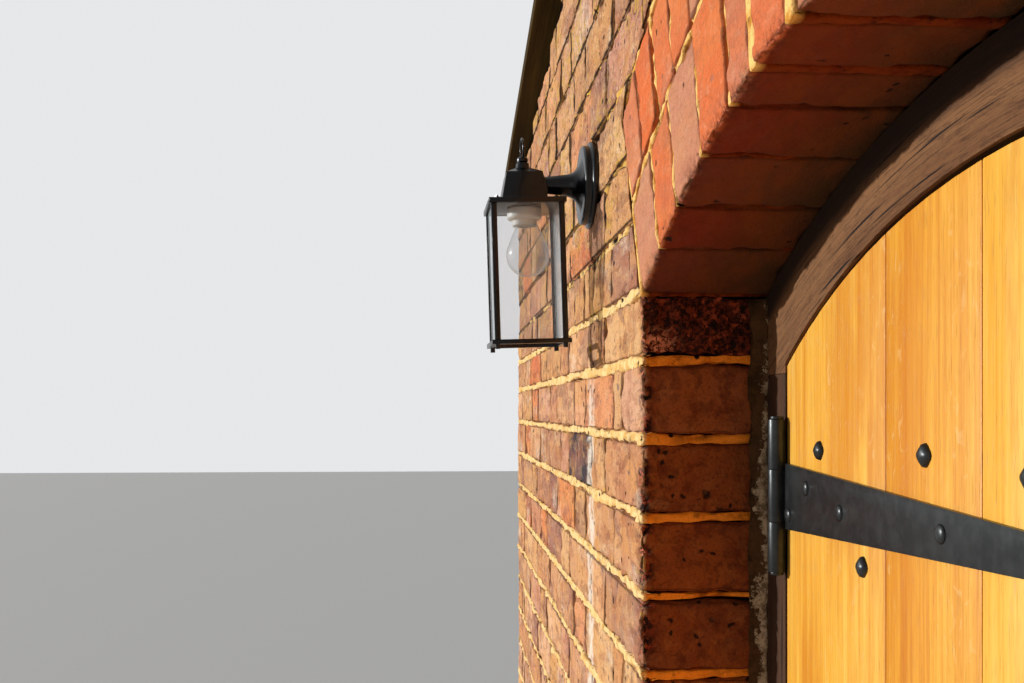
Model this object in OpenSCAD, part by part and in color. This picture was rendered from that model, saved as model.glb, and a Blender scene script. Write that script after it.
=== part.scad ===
// Doorway bay of an oast house: a brick wall with a two-ring segmental arch,
// an oak frame with a curved head, a boarded door on strap hinges, a wall
// lantern beside it, and the raked verge of the roof above.
// X runs along the wall, Y into the building, Z up. The wall's outer face is
// at y = 0, the middle of the doorway at x = 0 and the ground at z = 0.

/* [Opening] */
// Clear width of the brick opening
opening_w = 930; // [800:5:1100]
// Height at which the arch springs
springing_z = 1875; // [1700:5:2000]
// Rise of the arch over its springing
arch_rise = 107; // [80:1:160]

/* [Brickwork] */
// Length of wall beside the opening, from its edge to the building's corner
jamb_w = 1573; // [1125:1:1800]
// Width of a brick laid on edge in the arch
brick_w = 102.5; // [95:0.5:110]
// Height of a brick, which is a voussoir's width along the arch
brick_h = 65; // [50:1:75]
// Mortar joint
joint_t = 10; // [6:0.5:14]
// Thickness of the wall, one brick
wall_t = 215; // [205:1:330]
// Depth by which the arch's joints are raked back
rake_d = 5; // [2:0.5:12]
// Height of the stone threshold, one course
threshold_h = 75; // [50:1:90]
// Rounded nosing of the threshold
nosing_r = 12; // [4:1:25]

/* [Door frame] */
// Depth of the outer reveal, from the wall's face to the frame's face
reveal_d = 121; // [105:1:125]
// Width of the frame's posts seen from outside
post_w = 60; // [45:1:80]
// Bedding gap between the timber frame and the brickwork
frame_fit = 0.5; // [0.3:0.1:0.9]
// Gap all round the leaf
leaf_gap = 5; // [5:0.5:8]
// Width by which the frame's stop laps behind the leaf
stop_lap = 15; // [10:1:20]
// Height of the joint between post and head, below the leaf's springing
head_drop = 7; // [4:1:20]
// Width of the pointing fillet on the frame's face
fillet_w = 12; // [6:1:20]

/* [Door leaf] */
// Rise of the leaf's curved top
leaf_rise = 107; // [80:1:140]
// Thickness of the boards
board_t = 25; // [20:1:30]
// Open joint between two boards
board_gap = 0.8; // [0.4:0.1:0.9]
// Width of each board, from the hinge side, before the last one
board_1_w = 210; // [120:1:230]
// Width of the second board
board_2_w = 132; // [100:1:160]
// Width of the third board
board_3_w = 140; // [100:1:160]
// Width of the fourth board
board_4_w = 118; // [90:1:140]
// Height of a ledge behind the boards
ledge_h = 125; // [100:1:150]
// Thickness of the ledges and braces
ledge_t = 30; // [22:1:38]
// Distance from the springing of the leaf's curve down to the middle of the top ledge
top_ledge_down = 118; // [100:1:200]
// Middle of the middle ledge
mid_ledge_z = 1000; // [900:5:1100]
// Middle of the bottom ledge
low_ledge_z = 260; // [220:5:350]
// Distance from the leaf's edge to the end of a ledge
ledge_in = 26; // [24:1:50]
// Width of a brace
brace_w = 100; // [80:1:120]

/* [Strap hinges] */
// Thickness of the strap
strap_t = 4; // [3:0.5:5]
// Height of the strap beside its knuckle
strap_h = 59; // [50:1:70]
// Height of the strap where its tip starts
strap_end_h = 26; // [20:1:34]
// Length from the leaf's edge to where the tip starts
strap_l = 386; // [300:1:480]
// Length of the rounded tip
strap_tip_l = 64; // [40:1:90]
// Radius of a knuckle
knuckle_r = 8; // [7:0.5:10]
// Radius of the hinge pin
pin_r = 4; // [3:0.5:5]
// Running clearance of the pin in its knuckles
pin_clear = 0.05; // [0.03:0.01:0.1]
// Height of the middle knuckle, on the strap
knuckle_mid_h = 47; // [40:1:50]
// Height of each outer knuckle, on the post's plate
knuckle_end_h = 45; // [35:1:55]
// Axial clearance between knuckles
knuckle_gap = 0.3; // [0.2:0.1:0.8]
// Width of the plate on the post
plate_w = 34; // [25:1:42]
// Thickness of the plate on the post
plate_t = 3; // [2:0.5:4]

/* [Ring handle] */
// Radius of the rose
rose_r = 32; // [24:1:40]
// Radius of the ring to the middle of its bar
ring_r = 38; // [30:1:48]
// Radius of the ring's bar
ring_bar_r = 5; // [4:0.5:6]
// Height of the handle's eye
handle_z = 1040; // [950:5:1080]
// Distance from the leaf's free edge to the eye
handle_in = 62; // [58:1:80]

/* [Lantern] */
// Distance of the lantern from the edge of the opening
lantern_off = 320; // [220:5:400]
// Height of the lantern's arm
arm_z = 2050; // [1950:0.5:2100]
// Radius of the plate on the wall
plate_r = 54; // [45:0.5:60]
// Distance of the plate's front face from the wall
plate_d = 15.5; // [12:0.5:24]
// Distance from the wall to the middle of the cage
cage_y = 87.8; // [80:0.1:110]
// Width of the cage over its corner posts
cage_w = 90; // [80:1:94]
// Height of the cage from its bottom bars to the rim plate
cage_h = 171.5; // [140:0.5:200]
// Width of a corner angle's legs
angle_w = 7; // [6:0.5:12]
// Thickness of a corner angle
angle_t = 2; // [1.5:0.5:3]
// Thickness of the rim plate
rim_t = 6.5; // [5:0.5:12]
// Overhang of the rim plate over the cage
rim_over = 2.5; // [1:0.5:8]
// Overhang of the bottom frame over the cage
base_over = 3.5; // [1:0.5:8]
// Width of the roof block at its foot
roof_w = 60; // [50:0.5:64]
// Width of the roof block at its top
roof_top_w = 44.5; // [38:0.5:48]
// Height of the roof block
roof_h = 36.5; // [28:0.5:44]
// Angle by which the lantern hangs in towards the wall
lean_deg = 1.8; // [0:0.1:3]
// Angle by which the lantern is turned on its arm
turn_deg = 1.5; // [0:0.1:3]
// Radius of the bulb
bulb_r = 27.3; // [24:0.1:32]

/* [Verge] */
// Slope of the roof in degrees
rake_deg = 8.6; // [5:0.1:15]
// Height of the wall's raked top at the building's corner, under the roof boards
verge_z = 2311; // [2250:1:2500]
// Overhang of the roof boards over the wall's face
verge_over = 35; // [20:1:60]
// Thickness of the roof boards
roofboard_t = 25; // [18:1:32]
// Thickness of the lead covering with its laps
lead_t = 5; // [3:0.5:8]
// Distance by which the lead stops short of the boards' edge
lead_in = 5; // [2:1:10]
// Width of a rafter
rafter_w = 50; // [40:1:63]
// Depth of a rafter
rafter_h = 107; // [90:1:150]
// Thickness of the ridge board
ridge_t = 32; // [22:1:40]
// Depth of the ridge board
ridge_h = 150; // [130:1:180]
// Distance by which the roof runs past the building's corner
eaves_over = 10; // [4:1:60]

/* [Hidden] */
$fn = 96;

// Arch
half_open = opening_w / 2;
wall_half = half_open + jamb_w;
arch_r = (half_open * half_open + arch_rise * arch_rise) / (2 * arch_rise);
arch_cz = springing_z + arch_rise - arch_r;
arch_a = asin(half_open / arch_r);
ring_t = brick_w + joint_t;
mid_r = arch_r + ring_t;
outer_r = mid_r + ring_t;
skew_x = outer_r * sin(arch_a);
skew_z = arch_cz + outer_r * cos(arch_a);
voussoir_pitch = brick_h + joint_t;

// Frame and leaf
frame_half = half_open - frame_fit;
leaf_half = half_open - post_w - leaf_gap;
leaf_w = 2 * leaf_half;
leaf_z = threshold_h + leaf_gap;
head_sight = post_w + leaf_gap / 2;
leaf_crown_z = springing_z + arch_rise - head_sight - leaf_gap;
leaf_r = (leaf_half * leaf_half + leaf_rise * leaf_rise) / (2 * leaf_rise);
leaf_cz = leaf_crown_z - leaf_r;
leaf_spring_z = leaf_crown_z - leaf_rise;
head_z = leaf_spring_z - head_drop;
stop_y = reveal_d + board_t + leaf_gap;
ledge_y = reveal_d + board_t;
top_ledge_z = leaf_spring_z - top_ledge_down;
ledge_zs = [low_ledge_z, mid_ledge_z, top_ledge_z];
half_brick = brick_w;

// Boards, as distances from the leaf's hinge edge
board_w = [board_1_w, board_2_w, board_3_w, board_4_w,
    leaf_w - board_1_w - board_2_w - board_3_w - board_4_w];
board_u = [0, board_1_w, board_1_w + board_2_w, board_1_w + board_2_w + board_3_w,
    board_1_w + board_2_w + board_3_w + board_4_w];

// Hinges, one strap screwed through to the bottom ledge and one to the top ledge
hinge_zs = [low_ledge_z, top_ledge_z];
pin_x = -leaf_half - leaf_gap / 2;
pin_y = reveal_d - knuckle_r - 0.5;
bore_r = pin_r + pin_clear;
barrel_h = knuckle_mid_h + 2 * knuckle_gap + 2 * knuckle_end_h;
pin_head_h = 3;
pin_head_r = pin_r + 2;
strap_clear = 1;
strap_tip_h = 20;

// Handle
handle_x = leaf_half - handle_in;
rose_t = 4;
boss_r = 11;
boss_l = 24;
eye_clear = 0.5;
ring_y = ring_bar_r + eye_clear + rose_t - boss_l;

// Lantern
lantern_x = -half_open - lantern_off;
rim_z = arm_z - 24;
rim_w = cage_w + 2 * rim_over;
base_w = cage_w + 2 * base_over;
cage_z = rim_z - rim_t - cage_h;
plate_step = 7;
arm_y = cage_y - 28;
arm_root_r = 34;
arm_taper = 5;
arm_end_r = 10.4;
boss_end_r = 10;
glass_t = 2;
bar_w = 8;
bar_h = 5.5;
foot_r = 3;
foot_h = 5.5;
foot_in = 7;
cap_h = 7;
cap_top_w = 17;
knob_r = 9.2;
knob_h = 15;
wire_r = 1.3;
wire_ring_r = 12.7;
wire_sink = 2.2;
wire_clear = 0.2;
wire_turn = 1.5;
holder_r = 21.7;
holder_h = 21.5;
neck_r = 14.5;
bulb_drop = 58;
bulb_in = 3;

// Verge
back_over = rafter_w + 20;

function rake_z(x) = verge_z + tan(rake_deg) * (wall_half - abs(x));
function arch_x(r, a) = r * sin(a);
function arch_z(r, a) = arch_cz + r * cos(a);

// A flat shape drawn in X and Z, given thickness from y0 to y1
module upright(y0, y1) {
    translate([0, y1, 0]) rotate([90, 0, 0]) linear_extrude(height = y1 - y0) children();
}

// A round profile turned about an axis that points out from the wall
module outward() {
    rotate([90, 0, 0]) rotate_extrude() children();
}

// Brickwork
module wall_side() {
    upright(0, wall_t) polygon([
        [-wall_half, 0], [-half_open, 0], [-half_open, springing_z], [-skew_x, skew_z],
        [-skew_x, rake_z(skew_x)], [-wall_half, rake_z(wall_half)]
    ]);
}

module wall_left() {
    color("#a5694c") wall_side();
}

module wall_right() {
    color("#a5694c") mirror([1, 0, 0]) wall_side();
}

module wall_over_door() {
    color("#a5694c") upright(0, wall_t) difference() {
        polygon([
            [-skew_x, skew_z - ring_t], [skew_x, skew_z - ring_t],
            [skew_x, rake_z(skew_x)], [0, rake_z(0)], [-skew_x, rake_z(skew_x)]
        ]);
        translate([0, arch_cz]) circle(r = outer_r);
        polygon([[0, arch_cz], [-2 * skew_x, arch_z(2 * outer_r, arch_a)], [-2 * skew_x, arch_cz]]);
        polygon([[0, arch_cz], [2 * skew_x, arch_z(2 * outer_r, arch_a)], [2 * skew_x, arch_cz]]);
    }
}

// The sector that a ring of the arch fills, from radius r outwards over the thickness t
module ring_sector(r, t) {
    intersection() {
        translate([0, arch_cz]) difference() {
            circle(r = r + t);
            circle(r = r);
        }
        polygon([[0, arch_cz], [arch_x(2 * r, -arch_a), arch_z(2 * r, arch_a)],
            [arch_x(2 * r, arch_a), arch_z(2 * r, arch_a)]]);
    }
}

// One ring of the arch: voussoirs on edge, with the joints between them and
// the joint over their backs raked back from the wall's face
module arch_ring(r) {
    count = round(2 * arch_a * PI / 180 * r / voussoir_pitch);
    step = 2 * arch_a / count;
    upright(rake_d, wall_t) ring_sector(r, ring_t);
    upright(0, rake_d) difference() {
        ring_sector(r, brick_w);
        for (i = [1 : count - 1])
            translate([0, arch_cz]) rotate(arch_a - i * step)
                translate([-joint_t / 2, r - joint_t]) square([joint_t, ring_t + joint_t]);
    }
}

module arch_inner_ring() {
    color("#c8603a") arch_ring(arch_r);
}

module arch_outer_ring() {
    color("#b8705a") arch_ring(mid_r);
}

module threshold() {
    color("#a39a88") difference() {
        translate([-half_open, 0, 0]) cube([opening_w, wall_t, threshold_h]);
        translate([-half_open - 1, nosing_r, threshold_h - nosing_r]) rotate([0, 90, 0])
            difference() {
                translate([-nosing_r - 1, -nosing_r - 1, 0])
                    cube([nosing_r + 1, nosing_r + 1, opening_w + 2]);
                translate([0, 0, -1]) cylinder(r = nosing_r, h = opening_w + 4);
            }
    }
}

// Door frame
module leaf_outline(grow, z0) {
    h = leaf_half + grow;
    translate([-h, z0]) square([2 * h, leaf_spring_z - z0]);
    intersection() {
        translate([-h, leaf_spring_z - 1]) square([2 * h, 2 * leaf_rise]);
        translate([0, leaf_cz]) circle(r = leaf_r + grow);
    }
}

module frame_post() {
    inner = -leaf_half - leaf_gap;
    translate([0, 0, threshold_h]) linear_extrude(height = head_z - threshold_h) polygon([
        [-frame_half, reveal_d], [inner, reveal_d], [inner, stop_y],
        [inner + stop_lap + leaf_gap, stop_y], [inner + stop_lap + leaf_gap, wall_t],
        [-frame_half, wall_t]
    ]);
}

module head_outline() {
    intersection() {
        translate([-frame_half, head_z]) square([2 * frame_half, 2 * arch_rise + post_w]);
        union() {
            translate([-frame_half, head_z])
                square([2 * frame_half, springing_z - frame_fit - head_z]);
            translate([0, arch_cz]) circle(r = arch_r - frame_fit);
        }
    }
}

module frame_post_left() {
    color("#4a3b30") frame_post();
}

module frame_post_right() {
    color("#4a3b30") mirror([1, 0, 0]) frame_post();
}

module frame_head() {
    color("#6b4a34") {
        upright(reveal_d, stop_y) difference() {
            head_outline();
            leaf_outline(leaf_gap, head_z - 1);
        }
        upright(stop_y, wall_t) difference() {
            head_outline();
            leaf_outline(-stop_lap, head_z - 1);
        }
    }
}

module mortar_fillet() {
    linear_extrude(height = springing_z - threshold_h) polygon([
        [-half_open, half_brick], [-half_open, reveal_d], [-half_open + fillet_w, reveal_d],
        [-half_open + fillet_w * 0.6, half_brick + 4]
    ]);
}

module mortar_fillets() {
    color("#8d8577") translate([0, 0, threshold_h]) {
        mortar_fillet();
        mirror([1, 0, 0]) mortar_fillet();
    }
}

// Door leaf
module door_board(i) {
    color("#c98b3c") upright(reveal_d, reveal_d + board_t) intersection() {
        leaf_outline(0, leaf_z);
        translate([-leaf_half + board_u[i] + (i > 0 ? board_gap / 2 : 0), leaf_z])
            square([board_w[i] - (i > 0 ? board_gap / 2 : 0) - (i < 4 ? board_gap / 2 : 0),
                leaf_crown_z]);
    }
}

module ledge(z) {
    half = leaf_half - ledge_in;
    translate([-half, ledge_y, z - ledge_h / 2]) cube([2 * half, ledge_t, ledge_h]);
}

module ledges() {
    color("#b9803a") for (z = ledge_zs) ledge(z);
}

// A brace rises from the hinge side of the lower ledge to the free side of the upper one
module brace(z0, z1) {
    inset = ledge_in + 20;
    upright(ledge_y, ledge_y + ledge_t) polygon([
        [-leaf_half + inset, z0 + ledge_h / 2], [-leaf_half + inset + brace_w, z0 + ledge_h / 2],
        [leaf_half - inset, z1 - ledge_h / 2], [leaf_half - inset - brace_w, z1 - ledge_h / 2]
    ]);
}

module braces() {
    color("#b9803a") for (i = [0 : 1]) brace(ledge_zs[i], ledge_zs[i + 1]);
}

// Strap hinges
module strap(z) {
    x0 = pin_x + knuckle_r + strap_clear;
    x1 = -leaf_half + strap_l;
    x2 = x1 + strap_tip_l - strap_tip_h / 2;
    translate([0, 0, z]) difference() {
        union() {
            upright(reveal_d - strap_t, reveal_d) {
                polygon([[x0, -strap_h / 2], [x1, -strap_end_h / 2], [x2, -strap_tip_h / 2],
                    [x2, strap_tip_h / 2], [x1, strap_end_h / 2], [x0, strap_h / 2]]);
                translate([x2, 0]) circle(r = strap_tip_h / 2);
                translate([pin_x, -knuckle_mid_h / 2]) square([x0 - pin_x + 1, knuckle_mid_h]);
            }
            translate([pin_x, pin_y, -knuckle_mid_h / 2])
                cylinder(r = knuckle_r, h = knuckle_mid_h);
        }
        translate([pin_x, pin_y, -knuckle_mid_h]) cylinder(r = bore_r, h = 2 * knuckle_mid_h);
    }
}

module strap_hinges() {
    color("#2e3030") for (z = hinge_zs) strap(z);
}

module hinge_plate(z) {
    translate([0, 0, z]) difference() {
        union() {
            translate([pin_x - knuckle_r - plate_w, reveal_d - plate_t, -barrel_h / 2])
                cube([knuckle_r + plate_w, plate_t, barrel_h]);
            translate([pin_x, pin_y, -barrel_h / 2]) cylinder(r = knuckle_r, h = barrel_h);
        }
        translate([pin_x, pin_y, -knuckle_mid_h / 2 - knuckle_gap])
            cylinder(r = knuckle_r + strap_clear, h = knuckle_mid_h + 2 * knuckle_gap);
        translate([pin_x, pin_y, -barrel_h]) cylinder(r = bore_r, h = 2 * barrel_h);
    }
}

module hinge_plates() {
    color("#2a2b2b") for (z = hinge_zs) hinge_plate(z);
}

module hinge_pin(z) {
    translate([pin_x, pin_y, z]) {
        translate([0, 0, -barrel_h / 2]) cylinder(r = pin_r, h = barrel_h);
        translate([0, 0, barrel_h / 2]) cylinder(r = pin_head_r, h = pin_head_h);
        translate([0, 0, -barrel_h / 2 - pin_head_h]) cylinder(r = pin_head_r, h = pin_head_h);
    }
}

module hinge_pins() {
    color("#202121") for (z = hinge_zs) hinge_pin(z);
}

// Ring handle, hung in an eye on a round rose
module handle_rose() {
    color("#2a2b2b") translate([handle_x, reveal_d, handle_z]) difference() {
        union() {
            outward() polygon([[0, 0], [rose_r, 0], [rose_r, rose_t * 0.5],
                [rose_r - rose_t, rose_t], [0, rose_t]]);
            outward() square([boss_r, boss_l]);
        }
        translate([0, ring_y, -ring_r]) outward()
            translate([ring_r, 0]) circle(r = ring_bar_r + eye_clear);
    }
}

module handle_ring() {
    color("#2a2b2b") translate([handle_x, reveal_d + ring_y, handle_z - ring_r])
        outward() translate([ring_r, 0]) circle(r = ring_bar_r);
}

// Lantern
module leaning() {
    translate([lantern_x, -cage_y, arm_z]) rotate([lean_deg, 0, turn_deg])
        translate([0, 0, -arm_z])
        children();
}

// A square block that narrows from w0 to w1 over the height h
module tapered_block(w0, w1, h) {
    side = [[-w0 / 2, 0], [w0 / 2, 0], [w1 / 2, h], [-w1 / 2, h]];
    intersection() {
        translate([0, w0 / 2, 0]) rotate([90, 0, 0]) linear_extrude(height = w0) polygon(side);
        rotate([0, 0, 90]) translate([0, w0 / 2, 0]) rotate([90, 0, 0])
            linear_extrude(height = w0) polygon(side);
    }
}

module square_frame(outer, wide, h) {
    difference() {
        translate([-outer / 2, -outer / 2, 0]) cube([outer, outer, h]);
        translate([-outer / 2 + wide, -outer / 2 + wide, -1])
            cube([outer - 2 * wide, outer - 2 * wide, h + 2]);
    }
}

module lantern_backplate() {
    color("#1d1f20") translate([lantern_x, 0, arm_z]) outward() polygon([
        [0, 0], [plate_r, 0], [plate_r, plate_step - 2], [plate_r - 2, plate_step],
        [plate_r - 5, plate_step], [plate_r - 5, plate_d - 2], [plate_r - 7, plate_d],
        [0, plate_d]
    ]);
}

module lantern_arm() {
    steps = 14;
    span = arm_y - plate_d;
    flare = arm_root_r - arm_taper - arm_end_r;
    color("#1d1f20") translate([lantern_x, 0, arm_z]) outward() polygon(concat(
        [[0, plate_d]],
        [for (i = [0 : steps]) let (t = pow(i / steps, 1.6))
            [arm_end_r + arm_taper * (1 - t) + flare * pow(1 - t, 9), plate_d + span * t]],
        [[0, arm_y]]
    ));
}

// The turned knob over the roof block: a tapered collar, a neck and a button
module knob() {
    rotate_extrude() polygon([
        [0, 0], [knob_r, 0], [knob_r - 1, 7], [knob_r - 4, 8.2], [knob_r - 2.2, 9.4],
        [knob_r - 2.2, knob_h - 2], [knob_r - 4, knob_h], [0, knob_h]
    ]);
}

// The wire ring with a wire of radius r, standing on edge through the knob
module wire_ring(r) {
    translate([0, 0, rim_z + roof_h + cap_h + knob_h + wire_ring_r - wire_sink])
        rotate([90, 0, wire_turn]) rotate_extrude() translate([wire_ring_r, 0]) circle(r = r);
}

module lantern_roof() {
    color("#1d1f20") difference() {
        leaning() difference() {
            translate([0, 0, rim_z]) {
                tapered_block(roof_w, roof_top_w, roof_h);
                translate([0, 0, roof_h]) tapered_block(roof_top_w, cap_top_w, cap_h);
                translate([0, 0, roof_h + cap_h]) knob();
                translate([0, 0, arm_z - rim_z]) rotate([-90, 0, 0])
                    cylinder(r = boss_end_r, h = cage_y);
            }
            wire_ring(wire_r + wire_clear);
        }
        translate([lantern_x - roof_w, -arm_y, rim_z - roof_h])
            cube([2 * roof_w, cage_y, 3 * roof_h]);
    }
}

module lantern_ring() {
    color("#1d1f20") leaning() wire_ring(wire_r);
}

module lantern_rim() {
    color("#1d1f20") leaning() translate([-rim_w / 2, -rim_w / 2, rim_z - rim_t])
        cube([rim_w, rim_w, rim_t]);
}

module lantern_posts() {
    post_h = cage_h - bar_h;
    color("#1d1f20") leaning() for (a = [0 : 90 : 270]) rotate([0, 0, a])
        translate([-cage_w / 2, -cage_w / 2, cage_z + bar_h]) linear_extrude(height = post_h)
            polygon([[0, 0], [angle_w, 0], [angle_w, angle_t], [angle_t, angle_t],
                [angle_t, angle_w], [0, angle_w]]);
}

module lantern_base_frame() {
    color("#1d1f20") leaning() translate([0, 0, cage_z]) {
        square_frame(base_w, bar_w, bar_h);
        for (a = [0 : 90 : 270]) rotate([0, 0, a])
            translate([-base_w / 2 + foot_in, -base_w / 2 + foot_in, -foot_h])
                cylinder(r = foot_r, h = foot_h);
    }
}

module lantern_glass() {
    pane_w = cage_w - 4 * angle_t - 2;
    pane_y = cage_w / 2 - angle_t;
    color([0.9, 0.95, 0.95, 0.3]) leaning() for (a = [0 : 90 : 270]) rotate([0, 0, a])
        translate([-pane_w / 2, -pane_y, cage_z + bar_h])
            cube([pane_w, glass_t, cage_h - bar_h]);
}

module lantern_lampholder() {
    color("#b9bcbb") leaning() translate([0, 0, rim_z - rim_t - holder_h])
        rotate_extrude() polygon([[0, 0], [neck_r + 1, 0], [neck_r + 1, 7], [holder_r - 2, 8],
            [holder_r, 10], [holder_r, holder_h], [0, holder_h]]);
}

module lantern_bulb() {
    color([0.95, 0.95, 0.9, 0.35]) leaning()
        translate([0, bulb_in, rim_z - rim_t - bulb_drop]) rotate_extrude() union() {
            intersection() {
                circle(r = bulb_r);
                translate([0, -bulb_r]) square([bulb_r, 2 * bulb_r]);
            }
            polygon([[0, 0], [bulb_r * cos(28), bulb_r * sin(28)], [neck_r, bulb_drop - holder_h],
                [0, bulb_drop - holder_h]]);
        }
}

// Roof: a beam or a board that follows the rake from the eaves to x1, between the
// planes y0 and y1, its lower face set up from the wall's top
module raked(y0, y1, up, h, x1) {
    x0 = -wall_half - eaves_over;
    upright(y0, y1) polygon([
        [x0, rake_z(x0) + up], [x1, rake_z(x1) + up],
        [x1, rake_z(x1) + up + h], [x0, rake_z(x0) + up + h]
    ]);
}

module both_sides(right) {
    if (right) mirror([1, 0, 0]) children();
    else children();
}

module rafter(right) {
    color("#8a6a48") both_sides(right)
        raked(wall_t, wall_t + rafter_w, -rafter_h, rafter_h, -ridge_t / 2);
}

module ridge_board() {
    top = rake_z(ridge_t / 2);
    color("#8a6a48") upright(wall_t, wall_t + back_over)
        translate([-ridge_t / 2, top - ridge_h]) square([ridge_t, ridge_h]);
}

module roof_boards(right) {
    color("#3a2e25") both_sides(right) raked(-verge_over, wall_t + back_over, 0, roofboard_t, 0);
}

module roof_lead(right) {
    color("#6f7477") both_sides(right)
        raked(-verge_over + lead_in, wall_t + back_over, roofboard_t, lead_t, 0);
}

threshold();
wall_left();
wall_right();
wall_over_door();
arch_inner_ring();
arch_outer_ring();
frame_post_left();
frame_post_right();
frame_head();
mortar_fillets();
door_board(0);  // door_board_1
door_board(1);  // door_board_2
door_board(2);  // door_board_3
door_board(3);  // door_board_4
door_board(4);  // door_board_5
ledges();
braces();
strap_hinges();
hinge_plates();
hinge_pins();
handle_rose();
handle_ring();
lantern_backplate();
lantern_arm();
lantern_roof();
lantern_ring();
lantern_rim();
lantern_posts();
lantern_base_frame();
lantern_glass();
lantern_lampholder();
lantern_bulb();
rafter(false);  // rafter_left
rafter(true);  // rafter_right
ridge_board();
roof_boards(false);  // roof_boards_left
roof_boards(true);  // roof_boards_right
roof_lead(false);  // roof_lead_left
roof_lead(true);  // roof_lead_right
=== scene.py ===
import math

import bmesh
import bpy
import numpy as np
from mathutils import Matrix, Vector


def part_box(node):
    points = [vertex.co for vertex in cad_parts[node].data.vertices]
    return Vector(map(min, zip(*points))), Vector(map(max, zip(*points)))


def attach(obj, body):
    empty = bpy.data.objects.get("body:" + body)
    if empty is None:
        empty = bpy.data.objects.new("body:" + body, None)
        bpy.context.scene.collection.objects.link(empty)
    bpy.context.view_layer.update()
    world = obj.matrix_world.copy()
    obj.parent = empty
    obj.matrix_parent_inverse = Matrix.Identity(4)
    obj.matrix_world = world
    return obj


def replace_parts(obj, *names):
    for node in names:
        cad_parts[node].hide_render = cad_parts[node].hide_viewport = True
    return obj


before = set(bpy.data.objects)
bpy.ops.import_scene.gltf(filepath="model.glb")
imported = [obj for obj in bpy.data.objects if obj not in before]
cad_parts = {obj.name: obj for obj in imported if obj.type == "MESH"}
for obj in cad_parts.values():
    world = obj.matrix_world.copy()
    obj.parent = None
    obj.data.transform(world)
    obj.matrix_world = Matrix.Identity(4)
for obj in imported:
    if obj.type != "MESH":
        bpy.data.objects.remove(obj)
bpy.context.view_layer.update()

# The camera stands a little right of the doorway and a hand's span off the wall,
# at eye height, and looks along the brickwork to the building's corner.
camera = bpy.data.objects.new("camera", bpy.data.cameras.new("camera"))
bpy.context.collection.objects.link(camera)
camera.location = (0.530, -0.192, 1.7665)
camera.rotation_euler = Vector((-0.99766, 0.06836, 0)).to_track_quat("-Z", "Y").to_euler()
camera.data.sensor_width = 36
camera.data.lens = 36.9
camera.data.shift_y = 0.0674
camera.data.clip_start = 0.02
bpy.context.scene.camera = camera
bpy.context.scene.view_settings.view_transform = "Standard"


# The studio: a matt painted floor, a pale surround with a dark flag behind the camera
# that glossy surfaces mirror, one lamp low on the left as the sun falls in the
# photograph, a weak softbox on the right, and soft fill from everywhere else.
def paint(hex_colour):
    """An sRGB hex colour as linear red, green, blue and alpha."""
    parts = [int(hex_colour[i : i + 2], 16) / 255 for i in (1, 3, 5)]
    return [p / 12.92 if p <= 0.04045 else ((p + 0.055) / 1.055) ** 2.4 for p in parts] + [1.0]


def feed(tree, socket, value):
    """Gives a socket a number, a hex colour, or what another node or its output gives."""
    if isinstance(value, bpy.types.Node):
        value = next(output for output in value.outputs if output.enabled)
    if isinstance(value, bpy.types.NodeSocket):
        tree.links.new(value, socket)
    else:
        socket.default_value = paint(value) if isinstance(value, str) else value


def add(tree, kind, *values, stops=(), **settings):
    """Adds a node. Values feed its sockets in their order, such as the place, scale, detail
    and roughness of a noise. Settings are its properties and its other sockets, by name,
    and stops the (place, hex colour) of a colour ramp."""
    node = tree.nodes.new("ShaderNode" + kind)
    for name, value in settings.items():
        if hasattr(node, name):
            setattr(node, name, value)
        else:
            feed(tree, node.inputs[name.replace("_", " ")], value)
    for socket, value in zip([socket for socket in node.inputs if socket.enabled], values):
        feed(tree, socket, value)
    elements = node.color_ramp.elements if stops else []
    while len(elements) < len(stops):
        elements.new(0.5)
    for element, (place, colour) in zip(elements, stops):
        element.position, element.color = place, paint(colour)
    return node


def within(tree, *masks):
    """The product of masks. Each is a number, a node or its output, or (value, low, high),
    which runs smoothly from 0 at low to 1 at high."""
    product = None
    for mask in masks:
        if isinstance(mask, tuple):
            mask = add(tree, "MapRange", *mask, interpolation_type="SMOOTHSTEP")
        product = mask if product is None else add(tree, "Math", product, mask, operation="MULTIPLY")
    return product


def material(name):
    """A new material and its nodes."""
    made = bpy.data.materials.new(name)
    made.use_nodes = True
    return made, made.node_tree


def finish(tree, height=None, depth=0.0, strength=1.0, **sockets):
    """Feeds the shader's sockets, and raises the surface by height."""
    if height is not None:
        sockets["Normal"] = add(tree, "Bump", Height=height, Distance=depth, Strength=strength)
    for name, value in sockets.items():
        feed(tree, tree.nodes["Principled BSDF"].inputs[name.replace("_", " ")], value)


floor_paint, tree = material("floor_matt_paint")
finish(tree, Base_Color="#F4F3F0", Roughness=0.9)
bpy.ops.mesh.primitive_plane_add(size=60)
floor = bpy.context.object
floor.name = "floor"
floor.data.materials.append(floor_paint)

world = bpy.data.worlds.new("studio")
bpy.context.scene.world = world
world.use_nodes = True
tree = world.node_tree
path = add(tree, "LightPath").outputs
seen = add(tree, "Math", path["Is Camera Ray"], path["Is Transmission Ray"], operation="MAXIMUM")
heading, _, _ = add(tree, "SeparateXYZ", add(tree, "TexCoord").outputs["Generated"]).outputs
flag = add(tree, "Math", within(tree, (heading, 0.6, -0.3)), 0.5, 0.15, operation="MULTIPLY_ADD")
seen = add(tree, "Math", seen, within(tree, path["Is Glossy Ray"], flag), operation="MAXIMUM")
surround = tree.nodes["Background"].inputs
feed(tree, surround["Color"], "#EDEEF0")
feed(tree, surround["Strength"], add(tree, "Math", seen, 0.70, 0.24, operation="MULTIPLY_ADD"))


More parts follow.
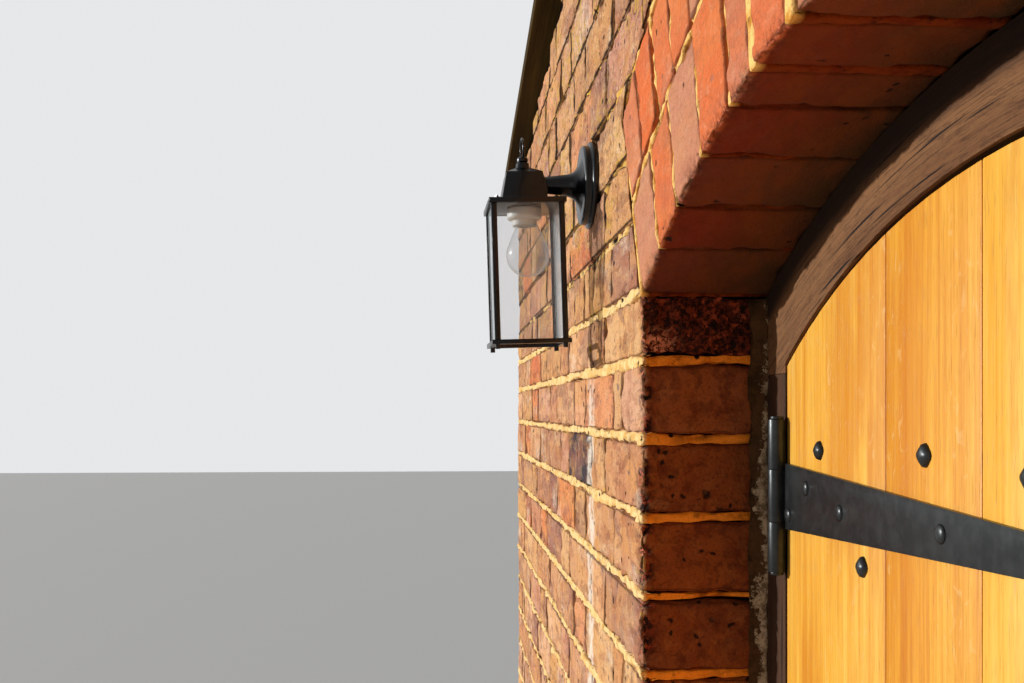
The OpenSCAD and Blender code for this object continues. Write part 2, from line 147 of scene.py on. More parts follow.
def lamp(name, kind, place, aim, strength, **settings):
    """A lamp that stands at a place and shines at another."""
    data = bpy.data.lights.new(name, kind)
    data.energy = strength
    for key, value in settings.items():
        setattr(data, key, value)
    made = bpy.data.objects.new(name, data)
    made.location = place
    made.rotation_euler = (Vector(aim) - Vector(place)).to_track_quat("-Z", "Y").to_euler()
    bpy.context.collection.objects.link(made)


SUN_SIDE, SUN_HEIGHT = math.radians(18), math.radians(10.5)
sun_from = Vector((-math.sin(SUN_SIDE), -math.cos(SUN_SIDE), math.tan(SUN_HEIGHT)))
lamp("low_sun", "SUN", sun_from, (0, 0, 0), 3.4, angle=math.radians(1.2))
lamp("right_softbox", "AREA", (3.2, -2.6, 2.4), (-0.2, 0, 1.5), 5, size=2.0)


# Brickwork: old handmade facing bricks in lime mortar, one brick thick, laid in
# Flemish bond with headers through the wall. Bricks are pressed in wooden moulds and
# clamp-fired, so each differs in colour, and the arrises are worn and chipped.
MM = 0.001
STRETCHER, HEADER, CLOSER = 225 * MM, 112.5 * MM, 56.25 * MM
JOINT, PERPEND, ARRIS = 8 * MM, 6 * MM, 4 * MM
HALF_BRICK = 102.5 * MM
wall_low, wall_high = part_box("wall_left")
JAMB_X, CORNER_X = -wall_high.x, -wall_low.x
WALL_T = wall_high.y
SPRING_ROW, SPRING_Z = 25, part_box("arch_inner_ring")[0].z
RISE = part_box("frame_head")[1].z + 0.5 * MM - SPRING_Z
ARCH_R = (JAMB_X**2 + RISE**2) / (2 * RISE)
ARCH_Z = SPRING_Z + RISE - ARCH_R
ARCH_A = math.asin(JAMB_X / ARCH_R)
RING_T = 112.5 * MM
EXTRADOS_R = ARCH_R + 2 * RING_T
RAKE = math.tan(math.radians(8.6))
WALL_TOP_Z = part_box("wall_over_door")[1].z
FRAME_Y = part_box("frame_head")[0].y
# The white run on the bricks starts under the lantern's plate.
RUN_X = -0.806
UP = (0, 0, 1)


def lattice(ix, iy, iz, seed):
    """A repeatable random number from 0 to 1 at each whole-number point."""
    h = (ix * 374761393 + iy * 668265263 + iz * 1442695041 + seed * 1274126177) & 0xFFFFFFFF
    h = ((h ^ (h >> 13)) * 1274126177) & 0xFFFFFFFF
    return ((h ^ (h >> 16)) & 0xFFFF) / 65535.0


def lumps(points, *layers):
    """A sum of smooth noises, each of them (height, size of its lumps in mm, seed)."""
    total = np.zeros(len(points))
    for height, size, seed in layers:
        q = points / (size * MM)
        base = np.floor(q).astype(np.int64)
        f = q - base
        f = f * f * (3 - 2 * f)
        noise = np.zeros(len(points))
        for corner in np.ndindex(2, 2, 2):
            weight = np.prod(np.where(np.array(corner) == 1, f, 1 - f), axis=1)
            noise += weight * lattice(*(base + np.array(corner)).T, seed)
        total += height * (2 * noise - 1)
    return total


def eased_step(value, low, high):
    """Runs smoothly from 0 at low to 1 at high."""
    t = np.clip((value - low) / (high - low), 0, 1)
    return t * t * (3 - 2 * t)


def course_z(row):
    """Height of the foot of a course: 75.8 mm courses, shaken a little where the arch springs."""
    if row < SPRING_ROW:
        return row * 75.8 * MM
    return ((1886, 1957.5, 2029)[row - 25] if row < 28 else 2108 + 76 * (row - 28)) * MM


class Bed:
    """A batch of shells laid in one piece, with the numbers its wear and material read."""

    def __init__(self):
        self.faces, self.count = [], 0
        words = ("points", "push", "out", "spread", "edge", "tone", "wear", "shift")
        self.parts = {key: [] for key in words}


def bent_line(corners, radius, cell, end, fine=0.0, soft=True):
    """Points, run and distance along a line that turns each corner in a small arc. The
    steps are about one cell long, and end long at both ends; fine crowds six more on
    each side of a corner, and soft puts one close to each end."""
    corners = [np.array(c, float) for c in corners]
    legs = [b - a for a, b in zip(corners, corners[1:])]
    lengths = [np.linalg.norm(leg) for leg in legs]
    runs = [leg / length for leg, length in zip(legs, lengths)]
    first = [0.35 * end] if soft else []
    points, tangents, marks = [], [], []
    for k, (start, run, length) in enumerate(zip(corners, runs, lengths)):
        last = k == len(legs) - 1
        low = radius if k else 0.0
        high = length - (0.0 if last else radius)
        steps = max(1, round((high - low) / cell))
        places = list(np.linspace(low, high, steps + 1))
        if fine:
            places += [low + fine * n for n in range(1, 7) if k]
            places += [high - fine * n for n in range(1, 7) if not last]
            places = sorted(p for p in places if low <= p <= high)
            places = [p for p, after in zip(places, places[1:] + [high + fine]) if after - p > 0.5 * fine]
        if k == 0:
            places = [0.0] + first + [end] + [p for p in places if p > 1.5 * end]
        if last:
            places = [p for p in places if p < length - 1.5 * end]
            places += [length - end] + [length - f for f in first] + [length]
        points += [start + run * p for p in places]
        tangents += [run] * len(places)
        if not last:
            centre = start + run * (length - radius) + runs[k + 1] * radius
            for a in (math.pi / 8, math.pi / 4, 3 * math.pi / 8):
                points.append(centre - runs[k + 1] * radius * math.cos(a) + run * radius * math.sin(a))
                bent = run * math.cos(a) + runs[k + 1] * math.sin(a)
                tangents.append(bent / np.linalg.norm(bent))
            marks.append(len(points) - 2)
    points, tangents = np.array(points), np.array(tangents)
    gaps = np.linalg.norm(np.diff(points, axis=0), axis=1)
    along = np.concatenate([[0], np.cumsum(gaps)])
    return points, tangents, along, [along[mark] for mark in marks]


def shell(bed, line, across, height, cell, radius, depth, tone, rng, wear=0.0, flare=None, soft=True):
    """Lays one brick or joint: a rounded skin over a line, height wide, with its rim turned
    in by depth. soft puts a ring of points close to the rim."""
    points, tangents, along, marks = line
    across = np.broadcast_to(np.array(across, float), points.shape)
    outward = np.cross(tangents, across)
    flare = np.ones(len(points)) if flare is None else flare
    length = along[-1]
    rows = max(1, round((height - 2 * radius) / cell))
    first = [0.35 * radius] if soft else []
    v = np.concatenate([[0] + first, np.linspace(radius, height - radius, rows + 1),
                        [height - f for f in first] + [height]])
    nu, nv = len(along), len(v)
    ring = ([(i, 0) for i in range(nu)] + [(nu - 1, j) for j in range(1, nv)]
            + [(i, nv - 1) for i in range(nu - 2, -1, -1)] + [(0, j) for j in range(nv - 2, 0, -1)])
    depths = first + [radius, depth]
    grid = [(i, j, 0.0) for i in range(nu) for j in range(nv)]
    grid += [(i, j, d) for d in depths for i, j in ring]
    index = np.array([(i, j) for i, j, _ in grid])
    s, w, d = along[index[:, 0]], v[index[:, 1]], np.array([g[2] for g in grid])
    inner = np.stack([np.clip(s, radius, length - radius), np.clip(w, radius, height - radius),
                      np.maximum(d, radius)], 1)
    push = np.stack([s, w, d], 1) - inner
    push /= np.maximum(np.linalg.norm(push, axis=1), 1e-9)[:, None]
    i = index[:, 0]
    local = inner + radius * push
    spread = across[i] * ((local[:, 1:2] - height / 2) * flare[i][:, None])
    place = points[i] + tangents[i] * (local[:, :1] - s[:, None]) + spread - outward[i] * local[:, 2:]
    turned_out = tangents[i] * push[:, :1] + across[i] * push[:, 1:2] - outward[i] * push[:, 2:]
    edge = np.minimum.reduce([s, length - s, w, height - w] + [abs(s - mark) for mark in marks])
    n, count = bed.count, len(place)
    for a in range(nu - 1):
        for b in range(nv - 1):
            k = n + a * nv + b
            bed.faces.append((k, k + nv, k + nv + 1, k + 1))
    rims = [[n + a * nv + b for a, b in ring]]
    for k in range(len(depths)):
        start = n + nu * nv + k * len(ring)
        rims.append(list(range(start, start + len(ring))))
    for upper, lower in zip(rims, rims[1:]):
        for k in range(len(ring)):
            after = (k + 1) % len(ring)
            bed.faces.append((upper[after], upper[k], lower[k], lower[after]))
    bed.faces.append(tuple(rims[-1][::-1]))
    numbers = {"points": place, "push": turned_out, "out": outward[i], "spread": spread,
               "edge": np.where(d > 0, d, edge), "tone": np.full(count, tone),
               "wear": np.broadcast_to(wear, nu)[i], "shift": np.tile(rng.uniform(0, 40, 3), (count, 1))}
    for key, value in numbers.items():
        bed.parts[key].append(value)
    bed.count += count


def placed(name, mesh, body, surface):
    """Makes a mesh a piece of the object, which rides on a body."""
    mesh.materials.append(surface)
    made = bpy.data.objects.new(name, mesh)
    bpy.context.collection.objects.link(made)
    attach(made, body)
    return made


def mesh_object(name, points, faces, body, surface, smooth=True):
    """A piece made of points and faces."""
    mesh = bpy.data.meshes.new(name)
    mesh.from_pydata([tuple(p) for p in points], [], faces)
    mesh.polygons.foreach_set("use_smooth", [smooth] * len(mesh.polygons))
    return placed(name, mesh, body, surface)


def note(made, name, values):
    """Stores one number for each point of a mesh, for its material to read."""
    values = np.broadcast_to(np.float32(values), len(made.data.vertices))
    made.data.attributes.new(name, "FLOAT", "POINT").data.foreach_set("value", values)


def from_arris(points):
    """How far each point stands behind the doorway's arris, on the face of the wall."""
    x, z = points[:, 0], points[:, 2]
    return np.where(z < SPRING_Z, abs(x) - JAMB_X, np.hypot(x, z - ARCH_Z) - ARCH_R)


def laid(bed, name, slot_name, surface, roughness, chips, bites, trim=None, sink=None):
    """Makes a piece of a batch: cuts it to its bounds, then wears its faces and arrises.
    roughness, chips and bites are heights in mm: of the face, at each brick's own edges
    and at the doorway's arris."""
    part = {key: np.concatenate(value) for key, value in bed.parts.items()}
    points, push, edge, spalled = part["points"], part["push"], part["edge"], part["wear"]
    if trim:
        points = trim(points)
    beside, into = np.clip(from_arris(points), 0, None), np.clip(points[:, 1], 0, None)
    sunk = np.zeros(len(points))
    turned_in = eased_step(into, 2.5 * MM, 6 * MM) * eased_step(beside, 14 * MM, 9 * MM)
    if sink:
        sunk = sink(points, beside, into)
        wider = lumps(points, (0.24, 120, 10), (0.08, 16, 14), (0.14, 4, 15)) - 0.2 * turned_in
        points = points - part["out"] * sunk[:, None] + part["spread"] * wider[:, None]
        points[:, 2] += lumps(points, (1.6 * MM, 90, 11))
    at = points + part["shift"]
    swell = roughness * lumps(at, (1.2, 45, 1), (0.8, 15, 2), (0.5, 6, 3), (0.35, 3.2, 13))
    ragged = np.clip(0.2 + lumps(at, (1, 17, 4), (0.6, 7, 5)), 0, 1.2)
    broken = np.clip(0.5 + lumps(at, (0.9, 11, 8), (1.1, 3.8, 9)), 0, 1.6)
    crumbs = np.clip(0.6 + lumps(at, (0.9, 13, 6), (0.8, 5.5, 7)), 0, 1.6)
    lost = chips * ragged * np.exp(-edge / (5 * MM))
    lost += bites * np.exp(-into / (6 * MM) - beside / (10 * MM)) * broken
    lost += spalled * eased_step(edge, 0, 6 * MM) * crumbs
    points = points + push * (swell - lost)[:, None] * MM
    made = mesh_object(name, points, bed.faces, "wall", surface)
    beyond = np.exp(-((into / (10 * MM)) ** 2) - (beside / (11 * MM)) ** 2)
    note(made, "tone", part["tone"])
    note(made, "edge", np.clip(edge / (20 * MM), 0, 1))
    note(made, "rotten", np.clip(spalled / 4, 0, 1))
    note(made, "arris", np.clip(bites / 4 * beyond * eased_step(broken, 0.1, 0.5), 0, 1))
    # The reveal mark says where the materials paint shade over the reveal and soffit; the sunk mark, where
    # they paint the shade deep in a joint.
    note(made, "reveal", turned_in)
    note(made, "sunk", np.clip(sunk / (8 * MM), 0, 1))
    return made


def tinted(tree, colour, tint, amount, *masks):
    """The colour with an amount of a tint over it, where all the masks are 1."""
    return add(tree, "Mix", within(tree, *masks, amount), colour, tint, data_type="RGBA")


def spots(tree, at, per_metre, share, outer, inner):
    """Round spots on a share of so many places to the metre, which fade from an inner radius
    to an outer one."""
    cells = add(tree, "TexVoronoi", at, Scale=per_metre)
    chosen = add(tree, "SeparateColor", cells.outputs["Color"])
    return within(tree, (cells, outer, inner), (chosen, 1 - share, 1.02 - share))


def clay(name, stops, shade, growth, edge_shade, bloom, mottle, soffit_shade):
    """Fired clay, dry and rough: mottled body, burnt flecks, pits, lime and lichen on the face,
    and painted shade in the reveal, in the pits and along the bricks' edges.
    Patterns are counted to the metre: clouds of clay 16 to 90 mm across, broken edges and
    lichen of 6 to 18 mm, and grit of 2.6 mm, coarser than the real sand so that it shows."""
    made, tree = material(name)
    place = add(tree, "TexCoord").outputs["Object"]
    x, y, z = add(tree, "SeparateXYZ", place).outputs
    tone, edge, rotten, arris, reveal = (
        add(tree, "Attribute", attribute_name=word).outputs["Fac"]
        for word in ("tone", "edge", "rotten", "arris", "reveal"))
    own = add(tree, "VectorMath", (13, 7, 29), operation="SCALE", Scale=tone)
    at = add(tree, "VectorMath", place, own, operation="ADD")
    drawn_out = add(tree, "Mapping", at, Scale=(0.42, 1, 1))
    face = add(tree, "Math", 1.0, reveal, operation="SUBTRACT")

    def fog(per_metre, detail, rough, twist=0.0):
        """Clouds in the clay: the coarse ones are drawn out along the brick by moulding."""
        at_size = drawn_out if per_metre < 65 else at
        return add(tree, "TexNoise", at_size, per_metre, detail, rough, Distortion=twist)

    def cloud(low, high, *noise):
        """A mask of clouds."""
        return fog(*noise), low, high

    # The body: sandy, red and purple clay, lime bloom, and runs of lime and of dirt
    body = add(tree, "ValToRGB", tone, stops=stops)
    for tint, amount, *mottling in (
            ("#DE9C54", 0.5 * mottle, 0.46, 0.58, 21, 5, 0.6, 0.4),
            ("#A86040", 0.5 * mottle, 0.50, 0.60, 33, 5, 0.6),
            ("#8E6258", 0.6 * mottle, 0.53, 0.61, 15, 6, 0.62, 0.6),
            ("#F4D09C", 0.22 * mottle, 0.52, 0.62, 60, 5, 0.6),
            ("#7C4A36", 0.5 * mottle, 0.56, 0.62, 44, 5, 0.6, 0.5),
            ("#F4E4CC", bloom, 0.56, 0.66, 11, 8, 0.75, 0.3)):
        body = tinted(tree, body, tint, amount, cloud(*mottling))
    runs = add(tree, "TexNoise", add(tree, "Mapping", place, Scale=(60, 60, 9)), 1.0, 6, 0.65)
    body = tinted(tree, body, "#F2D6A8", 0.5 * bloom, (runs, 0.56, 0.66), face)
    body = tinted(tree, body, "#6E3E2A", 0.42 * mottle, (runs, 0.45, 0.36), face)
    grit = fog(380, 4, 0.75)
    body = tinted(tree, body, "#5A3020", 0.15 + 0.33 * mottle, (grit, 0.53, 0.62))

    # Lichen high on the wall, crusts of it on the edges, and a white run below the lantern
    if growth:
        damp = add(tree, "Math", within(tree, (z, 1.75, 2.1)), 0.12, fog(8, 7, 0.7), operation="MULTIPLY_ADD")
        body = tinted(tree, body, "#CDA040", growth, (damp, 0.60, 0.68),
                      cloud(0.48, 0.56, 110, 6, 0.7, 0.3), face)
        body = tinted(tree, body, "#E8B23E", growth, (damp, 0.52, 0.62), (edge, 0.32, 0.1),
                      cloud(0.51, 0.58, 55, 6, 0.72), face)
        from_run = add(tree, "Math", add(tree, "Math", x, RUN_X, operation="SUBTRACT"), operation="ABSOLUTE")
        from_run = add(tree, "Math", fog(26, 6, 0.7), 0.05, from_run, operation="MULTIPLY_ADD")
        body = tinted(tree, body, "#F4E6D2", 0.8, (from_run, 0.058, 0.040), (z, 1.84, 1.76),
                      (z, 1.1, 1.4), (y, 0.06, 0.03), cloud(0.30, 0.56, 70, 4, 0.6))

    # Burnt flecks, pits painted dark as shade in their hollows, painted shade along the bricks' edges, and
    # weather on the bricks high on the wall
    warp = add(tree, "TexNoise", at, 90, 3).outputs["Color"]
    warp = add(tree, "VectorMath", warp, operation="SCALE", Scale=0.012)
    bent = add(tree, "VectorMath", at, warp, operation="ADD")
    flecks = spots(tree, bent, 85, 0.12 * mottle, 0.3, 0.165)
    pits = add(tree, "Math", spots(tree, bent, 100, 0.12 * mottle, 0.3, 0.165),
               spots(tree, bent, 48, 0.19 * mottle, 0.24, 0.132), operation="MAXIMUM")
    body = tinted(tree, body, "#56606E", 0.7, flecks)
    # Painted shade along each brick's edges.
    body = tinted(tree, body, "#4A2818", edge_shade, (edge, 0.22, 0.0))
    high = within(tree, (z, 1.85, 2.0), face)
    body = tinted(tree, body, "#6A4632", 0.6 * mottle, high, cloud(0.53, 0.60, 170, 6, 0.8, 0.3))
    body = tinted(tree, body, "#F2DCB8", 0.5 * mottle, high, cloud(0.56, 0.62, 120, 6, 0.8, 0.2))
    # Painted shade: near-black along the bricks' edges, stronger high on the wall.
    rim = add(tree, "Math", fog(80, 5, 0.7), 0.2, edge, operation="MULTIPLY_ADD")
    higher = add(tree, "Math", high, 0.7, 0.3, operation="MULTIPLY_ADD")
    body = tinted(tree, body, "#1C0F08", mottle, (rim, 0.25, 0.16), higher, face)

    # The doorway's broken arris; painted shade over the reveal and soffit, with dark mottling;
    # and on the arch's soffit more painted shade, darker in towards the frame, with orange-brown patches
    ragged = tinted(tree, "#200B07", "#D07052", 1.0, cloud(0.50, 0.56, 150, 5, 0.75, 0.4))
    body = tinted(tree, body, ragged, 0.95, arris)
    body = add(tree, "Mix", within(tree, reveal, 0.9), body, shade, data_type="RGBA", blend_type="MULTIPLY")
    body = tinted(tree, body, "#4A1C08", 0.5 * mottle, reveal, cloud(0.49, 0.62, 64, 6, 0.7, 0.3))
    if soffit_shade:
        # Painted shade: the soffit darkens in patches the deeper it runs in towards the frame.
        patchy = add(tree, "Math", fog(14, 5, 0.6), 1.2, 0.35, operation="MULTIPLY_ADD", use_clamp=True)
        body = tinted(tree, body, "#40300F", soffit_shade, (y, 0.0, 0.125), reveal, patchy)
        body = tinted(tree, body, "#7A3A10", 0.5, reveal, cloud(0.46, 0.6, 24, 5, 0.6, 0.3))

    # The bare body where the face has spalled, with painted sunlight on its broken lower edge, and the pits
    # over all, painted dark as shade
    spall = tinted(tree, "#240C06", "#7C3218", 1.0, cloud(0.44, 0.62, 190, 6, 0.75, 0.5))
    spall = tinted(tree, spall, "#B4502E", 0.8, cloud(0.55, 0.63, 105, 6, 0.7, 0.3))
    # Painted sunlight: the spall's lower edge near the face is painted pale, as if the sun caught it.
    spall = tinted(tree, spall, "#FFA27A", 0.9, (y, 0.046, 0.012), (z, 1.852, 1.832),
                   cloud(0.48, 0.54, 150, 6, 0.75, 0.4))
    # Painted shade: the pits are painted near-black, as the shade in their hollows.
    body = tinted(tree, tinted(tree, body, spall, 1.0, rotten), "#1E0E08", 0.92, pits)
    height = add(tree, "Math", grit, 0.6, fog(150, 4, 0.7), operation="MULTIPLY_ADD")
    height = add(tree, "Math", fog(60, 3, 0.6), 1.6 * mottle, height, operation="MULTIPLY_ADD")
    hollows = add(tree, "Math", pits, flecks, operation="MAXIMUM")
    height = add(tree, "Math", height, hollows, operation="SUBTRACT")
    finish(tree, height, 2.0 * MM, Base_Color=body, Roughness=0.88, Specular_IOR_Level=0.2)
    return made


# The colour after each list of stops is painted shade, multiplied over the reveal and soffit; the last number
# paints more shade deeper into the arch's soffit.
facing_clay = clay("handmade_facing_brick", [
    (0.00, "#40363A"), (0.018, "#40363A"), (0.03, "#A87462"), (0.16, "#C08A68"), (0.30, "#DCA468"),
    (0.44, "#CC8A64"), (0.58, "#E8B67C"), (0.72, "#CE9076"), (0.84, "#ECB98C"), (0.93, "#E28A54"),
    (1.0, "#DA6E48")], "#AA6C1C", growth=0.85, edge_shade=0.5, bloom=0.4, mottle=0.85, soffit_shade=0.0)
arch_clay = clay("red_arch_brick", [
    (0.0, "#CB8664"), (0.35, "#D28C6A"), (0.5, "#E07540"), (0.8, "#E66C30"), (1.0, "#D68058")],
    "#803C04", growth=0.0, edge_shade=0.3, bloom=0.12, mottle=0.3, soffit_shade=0.8)


# Lime mortar, sharp sand in slaked lime. Beds are struck almost flush and stand a
# little proud of the worn bricks low on the wall; higher up the weather has washed
# them out, and what is left is painted near-black as shade. In the reveal the mortar
# takes painted shade too. Perpends are tight and dark.
def lime(name, light, dark, dirt, shade, gild=0.0):
    """Sandy mortar: cream where it stands proud, with painted shade in the reveal, painted near-black
    shade where it is sunk, and holes painted dark as shade.
    Its sand, half a millimetre in truth, is drawn at 1.7 mm so that it shows."""
    made, tree = material(name)
    at = add(tree, "TexCoord").outputs["Object"]
    _, _, z = add(tree, "SeparateXYZ", at).outputs
    reveal, sunk = (
        add(tree, "Attribute", attribute_name=word).outputs["Fac"] for word in ("reveal", "sunk"))
    sand = add(tree, "TexNoise", at, 600, 2, 0.6)
    stain = add(tree, "TexNoise", at, 70, 6, 0.75)
    hole = spots(tree, at, 75, 0.2, 0.26, 0.14)
    colour = tinted(tree, light, dark, 1.0, (add(tree, "TexNoise", at, 45, 6, 0.7), 0.45, 0.62))
    colour = tinted(tree, colour, "#4A3018", dirt, (stain, 0.54, 0.66))
    colour = tinted(tree, colour, "#A07C48", 0.3, (sand, 0.55, 0.7))
    colour = tinted(tree, colour, "#DCA640", gild, (z, 1.9, 2.05))
    # Painted shade: sunk mortar is painted near-black, as the shade deep in the joint.
    colour = tinted(tree, colour, "#0E0805", 1.0, (sunk, 0.18, 0.58))
    # Painted shade: in the reveal the mortar's colour is multiplied by the shade colour.
    colour = add(tree, "Mix", reveal, colour, shade, data_type="RGBA", blend_type="MULTIPLY")
    # Painted shade: the holes are painted dark, as the shade inside them.
    colour = tinted(tree, colour, "#1C120A", 1.0, hole)
    height = add(tree, "Math", sand, stain, operation="ADD")
    height = add(tree, "Math", height, hole, operation="SUBTRACT")
    finish(tree, height, 1.2 * MM, Base_Color=colour, Roughness=0.95, Specular_IOR_Level=0.15)
    return made


# The last colour given to each is the painted shade in the reveal.
bed_lime = lime("lime_bed_joint", "#FFD896", "#EAB868", 0.55, "#FFB454", 0.8)
perpend_lime = lime("dark_perpend_shaded_hearting", "#5E442C", "#2E2014", 0.9, "#D88A30")


def bed_sink(points, beside, into):
    """How far a bed joint lies behind the bricks: washed out by degrees above the lantern."""
    x, z = points[:, 0], points[:, 2]
    high = eased_step(z, 1.88, 2.04)
    broken = lumps(points, (1, 38, 21), (0.6, 12, 22), (0.4, 5, 23))
    crusted = np.exp(-(((x + 0.62) / 0.12) ** 2) - ((z - 2.08) / 0.09) ** 2)
    depth = (0.2 + 2.2 * broken) * (1 - high) + (7.5 + 4.5 * broken - (6.0 + 2 * broken) * crusted) * high
    depth += 1.2 * eased_step(into, 2 * MM, 9 * MM) * (beside < 20 * MM)
    depth -= 2.2 * np.exp(-into / (8 * MM) - beside / (14 * MM)) * (1 - high)
    return np.clip(depth, -2.6, 8.5) * MM


def trim_wall(points):
    """Cuts bricks to the arch below them and to the roof above them."""
    x, z = points[:, 0].copy(), points[:, 2].copy()
    reach = EXTRADOS_R + JOINT * 0.8
    radius, angle = np.hypot(x, z - ARCH_Z), np.arctan2(abs(x), z - ARCH_Z)
    limit = ARCH_A + 0.2 * JOINT / np.maximum(radius, 0.1)
    inside = (radius < reach) & (angle < limit) & (z > SPRING_Z - 0.2 * JOINT)
    outwards = inside & ((reach - radius) < radius * (limit - angle))
    side = np.where(x < 0, -1.0, 1.0)
    x = np.where(inside, side * (z - ARCH_Z) * np.tan(limit), x)
    x = np.where(outwards, side * reach * np.sin(angle), x)
    z = np.where(outwards, ARCH_Z + reach * np.cos(angle), z)
    z = np.minimum(z, WALL_TOP_Z - 3 * MM - RAKE * abs(x))
    return np.stack([x, points[:, 1], z], 1)


def course_spans(row, rng):
    """The bricks of one course, as (left, right, width), from one corner to the other."""
    pair = [STRETCHER, HEADER]
    if course_z(row) < SPRING_Z - 1 * MM:
        widths = pair * 4 + [STRETCHER]
        if row % 2:
            widths = [HEADER, CLOSER] + pair * 3 + [STRETCHER, CLOSER, HEADER]
        runs = [(-CORNER_X, -JAMB_X, widths), (JAMB_X, CORNER_X, widths)]
    else:
        widths = [HEADER, CLOSER] + pair * 11 + [STRETCHER] if row % 2 else pair * 12
        runs = [(-CORNER_X, CORNER_X, widths)]
    spans = []
    for low, high, widths in runs:
        scale = (high - low + PERPEND) / sum(widths)
        wander = rng.uniform(-3.5, 3.5, len(widths) + 1) * MM
        wander[[0, -1]] = 0
        places = low + np.concatenate([[0], np.cumsum(widths)]) * scale + wander
        spans += zip(places, places[1:] - PERPEND, widths)
    return spans


def kept(left, right, z):
    """Whether any useful part of a brick is left by the arch and the roof."""
    near = min(abs(left), abs(right)) if left * right > 0 else 0
    far = max(abs(left), abs(right))
    radius, angle = math.hypot(far, z + 67 * MM - ARCH_Z), math.atan2(far, z - ARCH_Z)
    if z < SPRING_Z - 1 * MM:
        return abs(left + right) / 2 > JAMB_X
    return radius > EXTRADOS_R + 14 * MM or angle > ARCH_A + 0.014 or near > EXTRADOS_R


def brick_height(left, right, row, rng):
    """A brick's height: full, or a split where the roof boards come down on it."""
    top = WALL_TOP_Z - RAKE * max(abs(left), abs(right)) - rng.uniform(4, 10) * MM
    joint = JOINT - (3.5 * MM if row >= SPRING_ROW else 0) + rng.uniform(-1.0, 1.5) * MM
    return min(course_z(row + 1) - joint, top) - course_z(row)


# Courses up to LAST_UNSEEN lie below the photograph's edge and take a coarser mesh, as
# do the back of the wall and all that is right of the door.
LAST_UNSEEN = 10
SPALLED_ROW = SPRING_ROW - 1
BRICK_SKIN, JOINT_SKIN = 11 * MM, 8 * MM
PERPEND_IN = 5.7 * MM
FINE = 2.6 * MM
rng, end_rng = np.random.default_rng(41), np.random.default_rng(43)
rows = 1 + max(row for row in range(60) if course_z(row) < WALL_TOP_Z)
near_bricks, left_bricks, right_bricks, over_bricks = Bed(), Bed(), Bed(), Bed()
back_bricks, near_beds, beds, uprights = Bed(), Bed(), Bed(), Bed()


def cell_at(x):
    """Mesh size on the front: fine beside the doorway, where the eye is close."""
    return 22 * MM if x > JAMB_X else min(16, 5 + 9 * max(0.0, -JAMB_X - x)) * MM


def perpend(x, y, low, high, across, seen, rng):
    """The upright joint at a brick's end."""
    line = [(x, y, low - 2 * MM), (x, y, low + high)]
    line = bent_line(line, ARRIS, (14 if seen else 80) * MM, 2 * MM, soft=seen)
    shell(uprights, line, across, PERPEND + 4 * MM, (5 if seen else 20) * MM, 2 * MM, JOINT_SKIN,
          rng.random(), rng, soft=seen)


for row in range(rows):
    for left, right, width in course_spans(row, rng):
        low = course_z(row)
        if not kept(left, right, low):
            continue
        high = brick_height(left, right, row, rng)
        if high < 20 * MM:
            continue
        z = low + high / 2
        tone, proud = rng.random(), rng.uniform(-1.6, 1.2) * MM
        through = width != STRETCHER
        depth = WALL_T if through else HALF_BRICK
        to_jamb = min(abs(abs(left) - JAMB_X), abs(abs(right) - JAMB_X))
        at_jamb = low < SPRING_Z - 1 * MM and to_jamb < 8 * MM
        at_corner = max(abs(left), abs(right)) > CORNER_X - 8 * MM
        if at_jamb and right < 0:
            tone, right = 0.1 + 0.7 * tone, -JAMB_X
            line = [(left, proud, z), (right, proud, z), (right, FRAME_Y - 3 * MM, z)]
        elif at_jamb:
            left = JAMB_X
            line = [(left, FRAME_Y - 3 * MM, z), (left, proud, z), (right, proud, z)]
        elif at_corner and left < 0:
            line = [(-CORNER_X, depth, z), (-CORNER_X, proud, z), (right, proud, z)]
            line = [(right, WALL_T, z)] + line if width == HEADER else line
        elif at_corner:
            line = [(left, proud, z), (CORNER_X, proud, z), (CORNER_X, depth, z)]
            line = line + [(left, WALL_T, z)] if width == HEADER else line
        else:
            line = [(left, proud, z), (right, proud, z)]
        middle = (left + right) / 2
        if low >= SPRING_Z and abs(middle) < 1.2:
            bed = over_bricks
        elif middle > 0:
            bed = right_bricks
        else:
            bed = near_bricks if middle > -1.0 else left_bricks
        cell = cell_at(middle) * (1.0 if row > LAST_UNSEEN else 1.8)
        soft = cell < 10 * MM
        fine = FINE if at_jamb and right < 0 and row > LAST_UNSEEN else 0.0
        line = bent_line(line, ARRIS, cell, ARRIS, fine, soft)
        wear = 0.0
        if row == SPALLED_ROW and at_jamb and right < 0:
            on_reveal = eased_step(line[0][:, 1], 2 * MM, 7 * MM)
            on_face = eased_step(abs(line[0][:, 0]), JAMB_X + 14 * MM, JAMB_X + 3 * MM)
            wear = 4.5 * np.maximum(on_reveal, 0.7 * on_face)
        shell(bed, line, UP, high, min(cell, 3.4 * MM) if fine else cell, ARRIS, BRICK_SKIN, tone, rng,
              wear, soft=soft)
        if at_corner and through:
            continue
        line = [(right, WALL_T, z), (left, WALL_T, z)]
        if at_corner and left < 0:
            line = [(right, WALL_T, z), (-CORNER_X, WALL_T, z), (-CORNER_X, WALL_T - HALF_BRICK, z)]
        elif at_corner:
            line = [(CORNER_X, WALL_T - HALF_BRICK, z), (CORNER_X, WALL_T, z), (left, WALL_T, z)]
        shell(back_bricks, bent_line(line, ARRIS, 60 * MM, ARRIS, soft=False), UP, high, 60 * MM, ARRIS,
              BRICK_SKIN, tone if through else rng.random(), rng, soft=False)
        if at_corner:
            side = math.copysign(1, middle)
            perpend(side * (CORNER_X - PERPEND_IN), WALL_T / 2, low, high, (0, -side, 0), False, end_rng)
        if abs(right) > CORNER_X - 20 * MM or (at_jamb and right < 0):
            continue
        x = right + PERPEND / 2
        for y, facing in ((PERPEND_IN, 1), (WALL_T - PERPEND_IN, -1)):
            seen = facing > 0 and -0.9 < x < 0 and row > LAST_UNSEEN
            perpend(x, y, low, high, (-facing, 0, 0), seen, rng)

